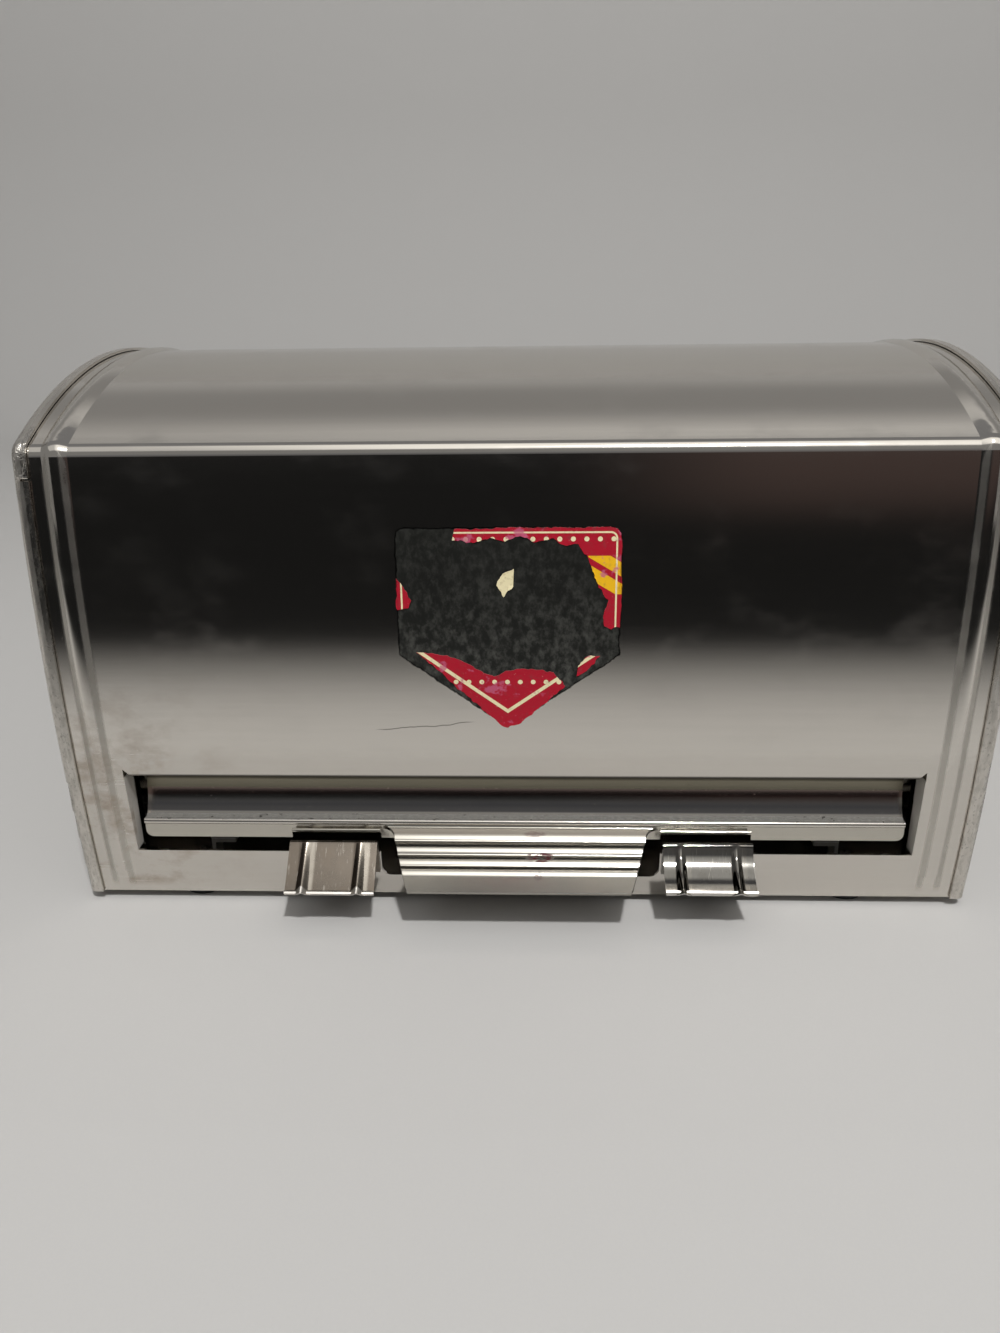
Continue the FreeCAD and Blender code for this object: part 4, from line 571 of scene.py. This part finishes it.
def panel_steel():
    """The end panels: brushed sheet, worn and pitted at the front lap, rubbed along its flanges."""
    s = new_shader("panel_steel")
    grain, streaks, specks = steel_fields(s)
    x, y, z = s.axes()
    flange = s.ranged(abs(x), FLANGE_SIDE_X, FLANGE_SIDE_X + 0.6 * MM, 1.0, 0.0)
    streak = s.ranged(abs(abs(x) - FLANGE_STREAK_X), 0.4 * MM, 1.0 * MM, 1.0, 0.0)
    low = s.ranged(z, *FLANGE_WORN_Z, 1.0, 0.3)
    corner = s.ranged(z, FLANGE_CRINKLE_Z, FLANGE_CRINKLE_Z + 1.0 * MM)
    corner = corner * s.ranged(y, *FLANGE_CRINKLE_Y, 1.0, 0.0)
    crinkles = s.cloud((2.2 * MM, 2.2 * MM, 2.6 * MM), 3.0, 0.6, seed=54.0) * corner
    lap = s.ranged(y, *LAP_Y, 1.0, 0.12)
    wear = s.ranged(s.cloud((2.2 * MM, 2.2 * MM, 5.0 * MM), 4.0, 0.7, seed=51.0), 0.42, 0.62) * lap
    pits = s.ranged(s.cloud((0.7 * MM, 0.7 * MM, 1.1 * MM), 3.0, 0.7, seed=52.0), 0.56, 0.66) * lap
    wipes = s.ranged(s.cloud((30 * MM, 34 * MM, 20 * MM), 3.0, 0.55, seed=55.0), 0.4, 0.7)
    brushed = s.cloud((0.3 * MM, 14 * MM, 0.25 * MM), 3.0, 0.6, seed=56.0)
    rubs = s.ranged(s.cloud((0.8 * MM, 0.8 * MM, 16 * MM), 2.0, 0.5, seed=53.0), 0.6, 0.7)
    colour = s.layered(
        rolled_colour(s, grain, streaks, specks),
        (wear * 0.5, (0.42, 0.40, 0.36)),
        (pits * 0.5, (0.2, 0.185, 0.16)),
        (wipes * 0.12, (0.42, 0.40, 0.37)),
        (rubs * flange * 0.5, (0.78, 0.76, 0.71)),
    )
    roughness = 0.1 + 0.05 * brushed + 0.05 * wipes + 0.1 * wear + 0.1 * pits
    return s.surface(
        {
            "Base Color": colour,
            "Metallic": 1.0,
            "Roughness": roughness + 0.05 * rubs + 0.18 * flange * low.more(streak),
            "Normal": s.bump(crinkles, 0.9 * MM, s.bump(brushed + wear - pits * 1.5, 0.0025 * MM)),
        }
    )


def turned_steel():
    """Bright turned bar, ringed by the tool."""
    s = new_shader("turned_steel")
    rings = s.cloud((0.25 * MM, 30 * MM, 30 * MM), 2.0, 0.5, seed=1.0)
    return s.surface(
        {
            "Base Color": s.mixed(rings, (0.62, 0.61, 0.59), (0.5, 0.49, 0.47)),
            "Metallic": 1.0,
            "Roughness": 0.22 + 0.12 * rings,
            "Normal": s.bump(rings, 0.004 * MM),
        }
    )


def hinge_steel():
    """Leaves of the hinge: rolled strip, duller than the sheets it joins."""
    s = new_shader("hinge_steel")
    rolled = s.cloud((12 * MM, 0.4 * MM, 0.4 * MM), 3.0, 0.6, seed=61.0)
    haze = s.ranged(s.cloud((6 * MM, 4 * MM, 4 * MM), 3.0, 0.6, seed=62.0), 0.4, 0.7)
    colour = s.layered(
        (0.5, 0.485, 0.455),
        (rolled * 0.4, (0.4, 0.385, 0.36)),
        (haze * 0.3, (0.36, 0.33, 0.29)),
    )
    return s.surface(
        {
            "Base Color": colour,
            "Metallic": 1.0,
            "Roughness": 0.2 + 0.1 * rolled + 0.1 * haze,
            "Normal": s.bump(rolled, 0.004 * MM),
        }
    )


def plated_steel():
    """Zinc plate on springs, nuts, screws and anchors."""
    s = new_shader("plated_steel")
    bloom = s.cloud((1.5 * MM, 1.5 * MM, 1.5 * MM), 3.0, 0.6, seed=4.0)
    return s.surface(
        {
            "Base Color": s.mixed(bloom, (0.58, 0.58, 0.57), (0.4, 0.41, 0.42)),
            "Metallic": 1.0,
            "Roughness": 0.28 + 0.18 * bloom,
            "Normal": s.bump(bloom, 0.01 * MM),
        }
    )


def rivet_steel():
    """Rivets, a little darker in their dents."""
    s = new_shader("rivet")
    dents = s.cloud((0.8 * MM, 0.8 * MM, 0.8 * MM), 2.0, 0.5, seed=6.0)
    return s.surface(
        {
            "Base Color": s.mixed(dents, (0.6, 0.58, 0.55), (0.42, 0.4, 0.38)),
            "Metallic": 1.0,
            "Roughness": 0.25 + 0.2 * dents,
            "Normal": s.bump(dents, 0.02 * MM),
        }
    )


def foot_rubber():
    """Black rubber with a fine grain and a little dust."""
    s = new_shader("foot_rubber")
    grain = s.cloud((0.35 * MM, 0.35 * MM, 0.35 * MM), 2.0, 0.5, seed=8.0)
    dust = s.ranged(s.cloud((3 * MM, 3 * MM, 3 * MM), 3.0, 0.6, seed=9.0), 0.5, 0.75)
    return s.surface(
        {
            "Base Color": s.mixed(dust * 0.4, (0.012, 0.012, 0.013), (0.06, 0.058, 0.054)),
            "Roughness": 0.6 + 0.2 * grain,
            "Normal": s.bump(grain, 0.03 * MM),
        }
    )


def bush_plastic():
    """Milky plastic of the bushes."""
    s = new_shader("bush_plastic")
    haze = s.cloud((2 * MM, 2 * MM, 2 * MM), 2.0, 0.5, seed=10.0)
    return s.surface(
        {
            "Base Color": s.mixed(haze, (0.68, 0.67, 0.62), (0.58, 0.56, 0.5)),
            "Roughness": 0.4 + 0.1 * haze,
            "Normal": s.bump(haze, 0.02 * MM),
        }
    )


# Which nodes take which finish. The cover and the gate have their own, the rest is plain sheet.
LEFT_CLIP = ("catch_clip_left", "clip_backing_left")
RIGHT_CLIP = ("catch_clip_right", "clip_backing_right")
TURNED_NODES = (
    "rotor_shaft",
    "hinge_pin",
    "travel_pin_left",
    "travel_pin_right",
    "spring_stud_left",
    "spring_stud_right",
)
PLATED_NODES = (
    "return_spring_left",
    "return_spring_right",
    "spring_anchor_left",
    "spring_anchor_right",
    "shaft_clips",
    "foot_screws",
    "foot_nuts",
)
PANEL_NODES = ("end_panel_left", "end_panel_right")
HINGE_NODES = ("hinge_leaf_cover", "hinge_leaf_door")
RIVET_NODES = ("base_rivets", "hinge_rivets_cover", "hinge_rivets_door")
RUBBER_NODES = ("foot_front_left", "foot_front_right", "foot_rear_left", "foot_rear_right")
PLASTIC_NODES = ("bush_left", "bush_right")


def paint(names, material):
    """Puts one finish on the named nodes."""
    for name in names:
        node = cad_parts[name]
        node.data.materials.clear()
        node.data.materials.append(material)


def left_clip_steel():
    """The left clip is browner and duller, with stronger painted shade and highlight along its ribs."""
    return clip_steel(
        "left_clip_steel",
        middle=-CLIP_CENTRE,
        steel=BROWN_STEEL,
        stain=BROWN_STAIN,
        flank_light=1.0,
        dullness=0.26,
        relief=0.005 * MM,
        seed=31.0,
    )


def right_clip_steel():
    """The right clip is greyer and has kept its shine."""
    return clip_steel(
        "right_clip_steel",
        middle=CLIP_CENTRE,
        steel=GREY_STEEL,
        stain=GREY_STAIN,
        flank_light=0.2,
        dullness=0.065,
        relief=0.006 * MM,
        seed=35.0,
    )


def paint_all():
    """Gives every node of the frame its finish."""
    finishes = (
        (("cover_sheet",), cover_steel()),
        (("gate_plate",), gate_steel()),
        (PANEL_NODES, panel_steel()),
        (HINGE_NODES, hinge_steel()),
        (LEFT_CLIP, left_clip_steel()),
        (RIGHT_CLIP, right_clip_steel()),
        (TURNED_NODES, turned_steel()),
        (PLATED_NODES, plated_steel()),
        (RIVET_NODES, rivet_steel()),
        (RUBBER_NODES, foot_rubber()),
        (PLASTIC_NODES, bush_plastic()),
    )
    painted = set()
    for names, material in finishes:
        paint(names, material)
        painted.update(names)
    paint([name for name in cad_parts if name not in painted], sheet_steel())


# ------------------------------------------------------------ the torn label


LABEL_LIFT = 0.03 * MM              # between the paper and the front
LABEL_THICKNESS = 0.14 * MM
LABEL_STEP = 0.55 * MM              # between the points of a torn edge
LABEL_BAND = 3 * LABEL_STEP         # the paper is cut into bands, to follow the front's bow
TEAR = 0.5 * MM                     # how far a torn edge strays
TEAR_LENGTH = 1.3 * MM
TEAR_SHIFT = Vector((0.0, 0.0, 31.7))   # between the noise that shakes it across and up
CURL = 0.5 * MM                     # how far the edge lifts off
CURL_LENGTH = 4 * MM

# Outlines of what is left of the label, in millimetres across and up the front.
REMNANTS = {
    "label_top": [
        (-17.5, 116.2), (-16.6, 119.0), (4.0, 119.3), (25.0, 119.3), (26.4, 118.9), (27.5, 117.9),
        (28.0, 116.3), (28.0, 91.8), (25.6, 91.2), (23.6, 92.0), (23.4, 96.0), (24.8, 99.4),
        (22.0, 103.0), (20.2, 108.0), (18.6, 111.6), (16.2, 115.0), (13.0, 114.4), (9.4, 116.4),
        (4.6, 115.4), (0.8, 117.0), (-3.4, 115.6), (-7.0, 116.6), (-12.0, 115.2),
    ],
    "label_left": [(-33.0, 105.5), (-31.2, 103.0), (-29.4, 99.6), (-30.0, 97.4), (-33.0, 96.6)],
    "label_point": [
        (-28.0, 84.4), (-20.4, 83.6), (-15.6, 81.9), (-12.4, 80.2), (-9.6, 78.2), (-6.6, 77.0),
        (-3.4, 78.8), (1.6, 79.6), (6.6, 79.0), (9.8, 78.6), (11.6, 76.6), (13.4, 74.4),
        (6.6, 68.4), (0.6, 63.0), (-3.0, 61.5), (-5.4, 62.6),
    ],
    "label_right": [(22.6, 83.4), (18.6, 83.0), (16.8, 80.4), (16.4, 77.4), (19.0, 78.8)],
    "label_chip": [(-1.1, 108.4), (-4.8, 106.2), (-5.6, 103.6), (-3.9, 100.4), (-1.3, 103.2)],
}


def front_point(x, z, lift):
    """The point of the front sheet at x and z, lifted off it."""
    out = Vector((0.0, -math.sqrt(FRONT_RADIUS**2 - (z - FRONT_CENTRE.z) ** 2), z - FRONT_CENTRE.z))
    return Vector((x, 0.0, 0.0)) + FRONT_CENTRE + out * ((FRONT_RADIUS + lift) / FRONT_RADIUS)


def torn_outline(corners, seed):
    """The corners joined by ragged lines."""
    points = []
    for here, there in zip(corners, corners[1:] + corners[:1]):
        start, end = Vector(here) * MM, Vector(there) * MM
        steps = max(1, round((end - start).length / LABEL_STEP))
        for step in range(steps):
            point = start.lerp(end, step / steps)
            place = Vector((point.x, point.y, seed)) / TEAR_LENGTH
            shake_x = noise.noise(place)
            shake_z = noise.noise(place + TEAR_SHIFT)
            points.append((point.x + shake_x * TEAR, point.y + shake_z * TEAR))
    return points


def flat_paper(corners, seed):
    """A grid with the torn outline, cut into bands so that it can bow, and the points of its rim."""
    grid = bmesh.new()
    outline = [grid.verts.new((x, 0.0, z)) for x, z in torn_outline(corners, seed)]
    rim = set(outline)
    grid.faces.new(outline)
    bmesh.ops.triangulate(grid, faces=grid.faces[:])
    level = min(vert.co.z for vert in outline) + LABEL_BAND
    top = max(vert.co.z for vert in outline)
    while level < top:
        geometry = grid.verts[:] + grid.edges[:] + grid.faces[:]
        bmesh.ops.bisect_plane(
            grid, geom=geometry, plane_co=(0.0, 0.0, level), plane_no=(0.0, 0.0, 1.0)
        )
        level += LABEL_BAND
    bmesh.ops.recalc_face_normals(grid, faces=grid.faces[:])
    if grid.faces[:][0].normal.y > 0.0:
        bmesh.ops.reverse_faces(grid, faces=grid.faces[:])
    return grid, rim


def lay_on_front(grid, rim, seed):
    """Lays the flat grid on the front, and gives each of its points one on the paper's back."""
    backs = {}
    for vert in grid.verts[:]:
        x, z = vert.co.x, vert.co.z
        lift = LABEL_LIFT
        if vert in rim:
            lift += max(0.0, noise.noise(Vector((x, seed, z)) / CURL_LENGTH)) * CURL
        backs[vert] = grid.verts.new(front_point(x, z, lift))
        vert.co = front_point(x, z, lift + LABEL_THICKNESS)
    return backs


def close_paper(grid, backs):
    """Adds the paper's back, and its torn edge in the second material."""
    for face in grid.faces[:]:
        grid.faces.new([backs[vert] for vert in reversed(face.verts)])
    for edge in [edge for edge in grid.edges if edge.verts[0] in backs and edge.is_boundary]:
        first, second = edge.verts
        loop = [loop for loop in edge.link_faces[0].loops if loop.edge == edge][0]
        if loop.vert is first:
            first, second = second, first
        side = grid.faces.new([first, second, backs[second], backs[first]])
        side.material_index = 1


def paper(name, corners, seed, material, torn_material):
    """A thin piece of paper on the front sheet, a little lifted here and there along its edge."""
    grid, rim = flat_paper(corners, seed)
    backs = lay_on_front(grid, rim, seed)
    close_paper(grid, backs)
    mesh = bpy.data.meshes.new(name)
    grid.to_mesh(mesh)
    grid.free()
    mesh.materials.append(material)
    mesh.materials.append(torn_material)
    piece = bpy.data.objects.new(name, mesh)
    bpy.context.scene.collection.objects.link(piece)
    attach(piece, "housing")


RED = (0.40, 0.006, 0.022)
PINK = (0.50, 0.10, 0.19)
CREAM = (0.80, 0.71, 0.44)
YELLOW = (0.83, 0.47, 0.01)

# The print, across and up the front.
CHEVRON_INSET = 4.2 * MM            # from the point's edges to the middle of its line
CHEVRON_TOP_Z = 85.0 * MM
BORDER_INSET = 1.3 * MM
BORDER_FOOT_Z = 86.0 * MM
DOT_ROWS_Z = (116.2 * MM, 75.6 * MM)
DOT_START_X = 0.6 * MM
DOT_HALF_SPACING = 1.8 * MM
DOT_RADIUS = 0.67 * MM
BAR_LEFT_X = 19.0 * MM
BAR_FOOT_Z = 101.0 * MM
BAR_TOP_Z = 111.6 * MM
BAR_HALF_SPACING = 2.9 * MM
BAR_SLOPE = 0.6
PRINT_EDGE = 0.1 * MM               # how soft the print's edges are


def pingpong(s, value, reach):
    """A value that runs to and fro between 0 and the reach."""
    return s.node("ShaderNodeMath", {"operation": "PINGPONG"}, {0: value, 1: reach})


def cream_shapes(s, x, z):
    """The cream chevron in the point, the border above it, and two rows of dots: 1 on each."""
    in_point = s.ranged(z, CHEVRON_TOP_Z, CHEVRON_TOP_Z + 0.2 * MM, 1.0, 0.0)
    off_chevron = abs(label_point(x, z) - CHEVRON_INSET)
    chevron = s.ranged(off_chevron, 0.45 * MM, 0.45 * MM + PRINT_EDGE, 1.0, 0.0) * in_point
    above_point = s.ranged(z, BORDER_FOOT_Z, BORDER_FOOT_Z + 0.2 * MM)
    off_border = abs(label_field(s, x, z) - BORDER_INSET)
    border = s.ranged(off_border, 0.2 * MM, 0.28 * MM, 1.0, 0.0) * above_point
    across = pingpong(s, x - DOT_START_X, DOT_HALF_SPACING)
    upper, lower = [s.length(across, z - row_z) for row_z in DOT_ROWS_Z]
    half_edge = PRINT_EDGE / 2
    dots = s.ranged(upper.less(lower), DOT_RADIUS - half_edge, DOT_RADIUS + half_edge, 1.0, 0.0)
    return chevron, border, dots


def yellow_bars(s, x, z):
    """Slanting yellow bars at the label's right: 1 on them."""
    bars = s.ranged(pingpong(s, z + x * BAR_SLOPE, BAR_HALF_SPACING), 0.9 * MM, 0.9 * MM + PRINT_EDGE)
    right = s.ranged(x, BAR_LEFT_X, BAR_LEFT_X + PRINT_EDGE)
    below = s.ranged(z, BAR_TOP_Z, BAR_TOP_Z + PRINT_EDGE, 1.0, 0.0)
    above = s.ranged(z, BAR_FOOT_Z, BAR_FOOT_Z + PRINT_EDGE)
    return bars * right * below * above


def label_paper():
    """Red print with cream and yellow shapes, pink where it has rubbed off."""
    s = new_shader("label_paper")
    x, y, z = s.axes()
    chevron, border, dots = cream_shapes(s, x, z)
    rubbed = s.ranged(s.cloud((6 * MM, 6 * MM, 5 * MM), 3.0, 0.6, seed=31.0), 0.56, 0.62)
    grime = s.ranged(s.cloud((1.5 * MM, 1.5 * MM, 1.5 * MM), 3.0, 0.65, seed=32.0), 0.5, 0.75)
    white_fibres = s.ranged(s.cloud((0.7 * MM, 0.7 * MM, 0.7 * MM), 3.0, 0.7, seed=33.0), 0.66, 0.72)
    colour = s.layered(
        RED,
        (yellow_bars(s, x, z), YELLOW),
        (chevron, CREAM),
        (border, CREAM),
        (dots, CREAM),
        (rubbed * 0.8, PINK),
        (white_fibres * 0.5, (0.6, 0.5, 0.48)),
        (grime * 0.35, (0.09, 0.05, 0.05)),
    )
    return s.surface(
        {
            "Base Color": colour,
            "Roughness": 0.38 + 0.25 * grime + 0.2 * rubbed,
            "Specular IOR Level": 0.2,
            "Normal": s.bump(grime + rubbed * -0.6, 0.03 * MM),
        }
    )


def chip_paper():
    """Bare cream paper of the little chip in the middle."""
    s = new_shader("chip_paper")
    grime = s.ranged(s.cloud((1.4 * MM, 1.4 * MM, 1.4 * MM), 3.0, 0.6, seed=34.0), 0.5, 0.7)
    return s.surface(
        {
            "Base Color": s.mixed(grime * 0.5, CREAM, (0.42, 0.32, 0.16)),
            "Roughness": 0.6 + 0.2 * grime,
            "Normal": s.bump(grime, 0.03 * MM),
        }
    )


def torn_fibre():
    """The paper's torn edge."""
    s = new_shader("torn_fibre")
    fibres = s.cloud((0.3 * MM, 0.3 * MM, 0.3 * MM), 2.0, 0.6, seed=35.0)
    return s.surface(
        {
            "Base Color": s.mixed(fibres, (0.33, 0.2, 0.19), (0.14, 0.08, 0.07)),
            "Roughness": 0.85,
            "Normal": s.bump(fibres, 0.05 * MM),
        }
    )


def torn_label():
    """All that is left of the label."""
    printed = label_paper()
    fibre = torn_fibre()
    bare = chip_paper()
    for seed, (name, corners) in enumerate(REMNANTS.items(), start=1):
        material = bare if name == "label_chip" else printed
        paper(name, corners, float(seed), material, fibre)


# --------------------------------------------------------- stage, lamps, camera


# The stage is in metres. Its floor sweeps up into the backdrop behind the object.
FLOOR_COLOUR = (0.54, 0.53, 0.515)
FLOOR_WEAVE = (0.44, 0.43, 0.42)
STAGE_FRONT = -3.0
STAGE_HALF_WIDTH = 3.0
SWEEP_START = 0.75
SWEEP_RADIUS = 0.35
SWEEP_STEPS = 24
SWEEP_TOP = 2.2


def cloth_material():
    """The pale floor: plain woven cloth."""
    s = new_shader("stage_cloth")
    weave = s.cloud((0.8 * MM, 0.8 * MM, 0.8 * MM), 2.0, 0.5, seed=12.0)
    return s.surface(
        {
            "Base Color": s.mixed(weave * 0.2, FLOOR_COLOUR, FLOOR_WEAVE),
            "Roughness": 0.9,
            "Specular IOR Level": 0.1,
        }
    )


def strip_mesh(name, profile, half_width):
    """A sheet along X whose section is the profile of (y, z) points."""
    grid = bmesh.new()
    ends = (-half_width, half_width)
    rows = [[grid.verts.new((x, y, z)) for x in ends] for y, z in profile]
    for low, high in zip(rows, rows[1:]):
        grid.faces.new((low[0], low[1], high[1], high[0]))
    mesh = bpy.data.meshes.new(name)
    grid.to_mesh(mesh)
    grid.free()
    piece = bpy.data.objects.new(name, mesh)
    bpy.context.scene.collection.objects.link(piece)
    return piece


def floor_and_backdrop():
    """A floor that sweeps up into the backdrop behind the object."""
    profile = [(STAGE_FRONT, 0.0)]
    for step in range(SWEEP_STEPS + 1):
        turn = math.radians(90.0) * step / SWEEP_STEPS
        y = SWEEP_START + SWEEP_RADIUS * math.sin(turn)
        z = SWEEP_RADIUS * (1.0 - math.cos(turn))
        profile.append((y, z))
    profile.append((SWEEP_START + SWEEP_RADIUS, SWEEP_TOP))
    sweep = strip_mesh("stage_sweep", profile, STAGE_HALF_WIDTH)
    for face in sweep.data.polygons:
        face.use_smooth = True
    sweep.data.materials.append(cloth_material())


# The flag: what the front shows of the room before the table.
FLAG_START = -0.165                 # it starts here, as bright as the floor,
FLAG_DARK = -0.385                  # and is dark from here on
FLAG_Y = -1.2                       # where it turns up
FLAG_DARK_TOP = 0.16
FLAG_TOP = 0.55
FLAG_HALF_WIDTH = 1.2
FLAG_LIFT = 0.5 * MM
FLAG_WARM_X = (0.0, 0.35)           # a warm glow comes in to the right
FLAG_WARM_Z = (0.02, 0.15)          # and above the floor
FLOOR_SHINE = (0.60, 0.59, 0.57)
FLAG_BLACK = (0.011, 0.011, 0.011)
FLAG_WARM = (0.065, 0.046, 0.042)
ROOM_GREY = (0.22, 0.22, 0.225)

CEILING_Z = 2.0
CEILING_FRONT = -2.2
CEILING_BACK = 1.05
CEILING_HALF_WIDTH = 2.0
CEILING_LIT_FRONT = (-2.15, -1.65)  # over this stretch of Y the lit part starts,
CEILING_LIT_BACK = (-0.35, -0.05)   # and over this one it ends
CEILING_DIM_X = (-0.95, -0.2)       # it is dimmer to the left
CEILING_DIM_SHARE = 0.4
CEILING_BRIGHT = (1.2, 1.18, 1.13)

# The card behind the object, from the backdrop's dull middle up to a paler band.
BACK_CARD_Y = 1.04
BACK_FOOT_Z = 0.85
BACK_DULL_Z = 1.1
BACK_PALE_Z = (1.35, 1.85)
BACK_DIM_X = (-1.2, 0.3)            # the pale band is dimmer to the left
BACK_DIM_SHARE = 0.55
BACK_FOOT = (0.40, 0.395, 0.385)
BACK_DULL = (0.27, 0.265, 0.26)
BACK_PALE = (0.62, 0.61, 0.59)


def reflection_card(name, profile, half_width, tint):
    """A stage sheet that only reflections show."""
    s = tint.shader
    s.surface(
        {
            "Base Color": (0.0, 0.0, 0.0),
            "Roughness": 1.0,
            "Specular IOR Level": 0.0,
            "Emission Color": tint,
            "Emission Strength": 1.0,
        }
    )
    card = strip_mesh(name, profile, half_width)
    card.data.materials.append(s.owner)
    card.visible_camera = False
    card.visible_diffuse = False
    card.visible_shadow = False


def dark_flag():
    """The dark room before the table: over the floor, then up, paler to its top."""
    s = new_shader("stage_flag")
    x, y, z = s.axes()
    floor = s.mixed(s.ranged(y, FLAG_DARK, FLAG_START), FLAG_BLACK, FLOOR_SHINE)
    glow = s.ranged(x, *FLAG_WARM_X) * s.ranged(z, *FLAG_WARM_Z)
    room = s.mixed(glow, floor, FLAG_WARM)
    tint = s.mixed(s.ranged(z, FLAG_DARK_TOP, FLAG_TOP), room, ROOM_GREY)
    profile = [(FLAG_START, FLAG_LIFT), (FLAG_Y, FLAG_LIFT), (FLAG_Y, FLAG_TOP)]
    reflection_card("stage_flag", profile, FLAG_HALF_WIDTH, tint)


def bright_ceiling():
    """The lit ceiling that the metal shows, brightest in front of the object."""
    s = new_shader("stage_ceiling")
    x, y, z = s.axes()
    lit = s.ranged(y, *CEILING_LIT_FRONT) * s.ranged(y, *CEILING_LIT_BACK, 1.0, 0.0)
    lit = lit * s.ranged(x, *CEILING_DIM_X, CEILING_DIM_SHARE, 1.0)
    tint = s.mixed(lit, ROOM_GREY, CEILING_BRIGHT)
    profile = [(CEILING_FRONT, CEILING_Z), (CEILING_BACK, CEILING_Z)]
    reflection_card("stage_ceiling", profile, CEILING_HALF_WIDTH, tint)


def back_glow():
    """What the roof shows behind the object: a paler band high up, a duller one below it."""
    s = new_shader("stage_back_glow")
    x, y, z = s.axes()
    dull = s.mixed(s.ranged(z, BACK_FOOT_Z, BACK_DULL_Z), BACK_FOOT, BACK_DULL)
    pale = s.ranged(z, *BACK_PALE_Z) * s.ranged(x, *BACK_DIM_X, BACK_DIM_SHARE, 1.0)
    tint = s.mixed(pale, dull, BACK_PALE)
    profile = [(BACK_CARD_Y, BACK_FOOT_Z), (BACK_CARD_Y, CEILING_Z)]
    reflection_card("stage_back_glow", profile, CEILING_HALF_WIDTH, tint)


def area_lamp(name, place, aim, size, power):
    """A rectangular lamp at a place, turned to its aim."""
    lamp = bpy.data.lights.new(name, "AREA")
    lamp.shape = "RECTANGLE"
    lamp.size = size[0]
    lamp.size_y = size[1]
    lamp.energy = power
    holder = bpy.data.objects.new(name, lamp)
    holder.location = place
    holder.rotation_euler = (Vector(aim) - Vector(place)).to_track_quat("-Z", "Y").to_euler()
    bpy.context.scene.collection.objects.link(holder)
    return holder


# Lamps: angles in degrees, lengths in metres, powers in watts. Together with the world they
# light a level sheet about as bright as its colour is written.
LAMP_AIM = (0.0, 0.0, 0.05)
WORLD_LEVEL = 0.24
WORLD_TINT = (1.0, 0.99, 0.97, 1.0)
SOFT_ELEVATION = 62.0
SOFT_DISTANCE = 1.5
SOFT_SIZE = (2.0, 1.2)
SOFT_POWER = 5.6
KEY_ELEVATION = 58.0
KEY_TURN = 16.0
KEY_DISTANCE = 2.0
KEY_SIZE = (0.1, 0.1)
KEY_POWER = 25.0


def aloft(elevation, turn, distance):
    """A place in front of the object, turned to the right, at an elevation."""
    up = math.radians(elevation)
    side = math.radians(turn)
    level = distance * math.cos(up)
    return (level * math.sin(side), -level * math.cos(side), distance * math.sin(up))


def lights():
    """A wide soft lamp above and in front, a small one that gives the shadows, and an even world."""
    soft_place = aloft(SOFT_ELEVATION, 0.0, SOFT_DISTANCE)
    key_place = aloft(KEY_ELEVATION, KEY_TURN, KEY_DISTANCE)
    soft = area_lamp("soft_lamp", soft_place, LAMP_AIM, SOFT_SIZE, SOFT_POWER)
    area_lamp("key_lamp", key_place, LAMP_AIM, KEY_SIZE, KEY_POWER)
    soft.visible_glossy = False
    world = bpy.data.worlds.new("room")
    bpy.context.scene.world = world
    s = Shader(world)
    air = s.node("ShaderNodeBackground", {}, {"Color": WORLD_TINT, "Strength": WORLD_LEVEL})
    s.node("ShaderNodeOutputWorld", {}, {"Surface": air})


# The camera: metres, degrees, and a lens in millimetres on a sensor 36 mm wide.
CAMERA_PLACE = (0.00615, -0.348, 0.18888)
CAMERA_YAW = -2.358
CAMERA_PITCH = 21.791
CAMERA_ROLL = 0.858
CAMERA_LENS = 37.8
CAMERA_SENSOR = 36.0


def camera():
    """The camera looks down over the top bend, a little turned and rolled."""
    yaw = math.radians(CAMERA_YAW)
    pitch = math.radians(CAMERA_PITCH)
    roll = math.radians(CAMERA_ROLL)
    level_ahead = Vector((math.sin(yaw), math.cos(yaw), 0.0))
    ahead = level_ahead * math.cos(pitch) - Vector((0.0, 0.0, math.sin(pitch)))
    level_right = Vector((math.cos(yaw), -math.sin(yaw), 0.0))
    level_down = ahead.cross(level_right)
    right = level_right * math.cos(roll) + level_down * math.sin(roll)
    down = level_down * math.cos(roll) - level_right * math.sin(roll)
    eye = bpy.data.cameras.new("camera")
    eye.sensor_width = CAMERA_SENSOR
    eye.sensor_fit = "HORIZONTAL"
    eye.lens = CAMERA_LENS
    eye.clip_start = 0.01
    eye.clip_end = 20.0
    holder = bpy.data.objects.new("camera", eye)
    turn = Matrix((right, -down, -ahead)).transposed().to_4x4()
    holder.matrix_world = Matrix.Translation(CAMERA_PLACE) @ turn
    bpy.context.scene.collection.objects.link(holder)
    bpy.context.scene.camera = holder


paint_all()
torn_label()
floor_and_backdrop()
dark_flag()
bright_ceiling()
back_glow()
lights()
camera()
bpy.context.scene.view_settings.view_transform = "Standard"
